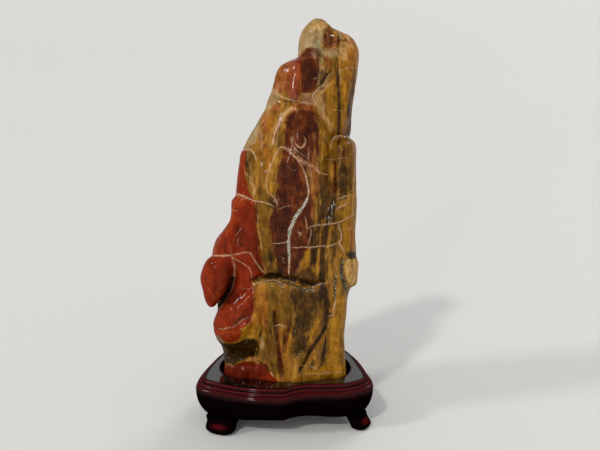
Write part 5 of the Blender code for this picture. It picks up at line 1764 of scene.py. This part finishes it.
@dataclass
class Foot:
    """One scrolled foot: a flared toe under a waisted neck that meets the body.

    Each section has its height, its reach outwards, and its width and depth as shares of
    the halves. The groove has its depth, height and width, and the red band on the outer
    side its height and width; the red band is painted light, where the reddish lacquer catches the light.
    """

    node: str
    x: float
    y: float
    heading: float
    half_width: float
    half_depth: float
    redness: float = 0.95
    top: float = 15.2
    sections: tuple[tuple[float, float, float, float], ...] = (
        (0.0, 5.6, 0.66, 0.78), (0.8, 6.8, 0.78, 0.88), (2.4, 7.7, 0.90, 0.97), (4.4, 7.8, 0.97, 1.0),
        (6.4, 7.2, 0.99, 1.0), (8.6, 5.6, 0.98, 0.98), (10.6, 3.8, 0.99, 0.96), (12.8, 2.2, 1.05, 0.95),
        (15.2, 1.0, 1.12, 0.97),
    )
    groove: tuple[float, float, float] = (0.4, 2.6, 0.5)
    red_band: tuple[float, float] = (9.4, 3.0)
    squareness: float = 0.8
    gloss: float = 0.012
    around: int = 72
    rows: int = 30

    def ring(self, height: float) -> np.ndarray:
        """The foot's section at a height.

        Args:
            height: Millimetres above the surface it stands on.

        Returns:
            Rows of x and y.
        """
        given = np.array(self.sections)
        reach, wide, deep = (np.interp(height, given[:, 0], given[:, k]) for k in (1, 2, 3))
        angles = np.linspace(0, 2 * math.pi, self.around, endpoint=False)
        ahead = np.sign(np.cos(angles)) * np.abs(np.cos(angles)) ** self.squareness
        aside = np.sign(np.sin(angles)) * np.abs(np.sin(angles)) ** self.squareness
        deepest, middle, width = self.groove
        groove = deepest * math.exp(-(((height - middle) / width) ** 2))
        ahead = ahead * (self.half_depth * deep - groove) + reach
        aside = aside * (self.half_width * wide - groove)
        turn = math.radians(self.heading)
        return np.stack([
            self.x + ahead * math.cos(turn) - aside * math.sin(turn),
            self.y + ahead * math.sin(turn) + aside * math.cos(turn),
        ], 1)

    def build(self, material: bpy.types.Material) -> bpy.types.Object:
        """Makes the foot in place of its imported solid.

        Args:
            material: The lacquer.

        Returns:
            The foot.
        """
        loft = Loft()
        sole = self.ring(0.0)
        loft.add(sole.mean(0) + (sole - sole.mean(0)) * 0.6, 0.0)
        outer = np.cos(np.linspace(0, 2 * math.pi, self.around, endpoint=False)).clip(0, 1) ** 6
        for k in range(self.rows + 1):
            height = self.top * (k / self.rows)
            # Painted light: a band of wine red on the outer side, where the lacquer catches the light.
            red = self.redness * outer * math.exp(-(((height - self.red_band[0]) / self.red_band[1]) ** 2))
            loft.add(self.ring(height), height, 0.05 + red, self.gloss)
        foot = placed(self.node + "_carved", loft.mesh(self.node + "_carved"))
        foot.data.materials.append(material)
        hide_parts(self.node)
        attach(foot, "root")
        return foot


# ---- The studio ----------------------------------------------------------------
@dataclass(frozen=True)
class Lamp:
    """A distant round light: which way it lies from the object, its width in degrees, its strength."""

    name: str
    place: tuple[float, float, float]
    spread: float
    strength: float
    colour: Colour = (1.0, 1.0, 1.0)

    def hang(self) -> None:
        """Adds the light to the scene."""
        data = bpy.data.lights.new(self.name, "SUN")
        data.angle = math.radians(self.spread)
        data.energy = self.strength
        data.color = self.colour
        made = placed(self.name, data)
        made.location = self.place
        made.rotation_euler = Vector(self.place).to_track_quat("Z", "Y").to_euler()


@dataclass
class Studio:
    """Pale floor, soft light all round, and the camera; the floor's sizes are in metres."""

    eye: tuple[float, float, float] = (0.0175, -0.922, 0.481)
    look_down: float = 15.39
    lens: float = 51.0
    warm: Colour = (1.0, 0.98, 0.95)
    surround: Colour = (0.86, 0.86, 0.86)
    surround_strength: float = 0.60
    floor_colour: Colour = (0.70, 0.695, 0.68)
    speckle_colour: Colour = (0.5, 0.5, 0.49)
    floor_radius: float = 60.0
    flat_radius: float = 8.0
    rim_height: float = 5.0
    floor_rings: int = 13
    around: int = 96

    def camera(self) -> None:
        """Makes the camera and hands it to the scene."""
        data = bpy.data.cameras.new("camera")
        data.sensor_width = 36.0
        data.lens = self.lens
        data.clip_start = 0.01
        made = placed("camera", data)
        made.location = self.eye
        made.rotation_euler = (math.radians(90 - self.look_down), 0.0, 0.0)
        bpy.context.scene.camera = made

    def lights(self) -> None:
        """A key high in front, lights from low in front, the left and behind, and a pale surround."""
        Lamp("key", (-0.70, -1.3, 1.55), 4.5, 0.9, self.warm).hang()
        Lamp("low", (-0.39, -1.0, 0.18), 10.0, 0.46, self.warm).hang()
        Lamp("left", (-1.6, -0.5, 1.1), 9.0, 0.8).hang()
        Lamp("back", (1.1, 1.5, 1.5), 24.0, 0.7).hang()
        world = bpy.data.worlds.new("surround")
        bpy.context.scene.world = world
        world.use_nodes = True
        backdrop = world.node_tree.nodes["Background"].inputs
        backdrop["Color"].default_value = (*self.surround, 1.0)
        backdrop["Strength"].default_value = self.surround_strength

    def floor(self) -> None:
        """A wide pale floor, flat in the middle, that rises gently far away to hide the horizon."""
        loft = Loft()
        turn = np.linspace(0, 2 * math.pi, self.around, endpoint=False)
        round_plan = np.stack([np.cos(turn), np.sin(turn)], 1)
        for share in np.linspace(0, 1, self.floor_rings):
            reach = self.flat_radius + (self.floor_radius - self.flat_radius) * share
            loft.add(round_plan * reach / MM, self.rim_height * share**2 / MM)
        mesh = loft.mesh("floor", lid=False)
        made = placed("floor", mesh)
        g = Graph("matt_floor")
        speckle = g.noise(g.place(), 1.2, 3)
        tone = g.blend(speckle * 0.10, self.floor_colour, self.speckle_colour)
        mesh.materials.append(g.finish(base_color=tone, roughness=0.7, specular_ior_level=0.2))

    def build(self) -> None:
        """Sets the whole studio up."""
        self.camera()
        self.lights()
        self.floor()
        bpy.context.scene.view_settings.view_transform = "Standard"


FEET = (
    Foot("foot_front_left", -69.5, -48, 250, 17.8, 11.5, 0.7),
    Foot("foot_front_right", 80.5, -40, 322, 12.5, 10.5),
    Foot("foot_back_right", 60, 44, 48, 12.5, 10.5),
    Foot("foot_back_left", -66, 44, 134, 12.5, 10.5),
)


def main() -> None:
    """Builds the pieces in order and reports each one."""
    logging.basicConfig(level=logging.INFO, format="%(name)s: %(message)s")
    lacquer = Lacquer()
    pieces = [Stone().build(), StandBody().build(lacquer)]
    feet_finish = lacquer.material("lacquered_feet")
    pieces += [foot.build(feet_finish) for foot in FEET]
    for piece in pieces:
        log.info("%s: %d faces", piece.name, len(piece.data.polygons))
    Studio().build()


if __name__ == "__main__":
    main()
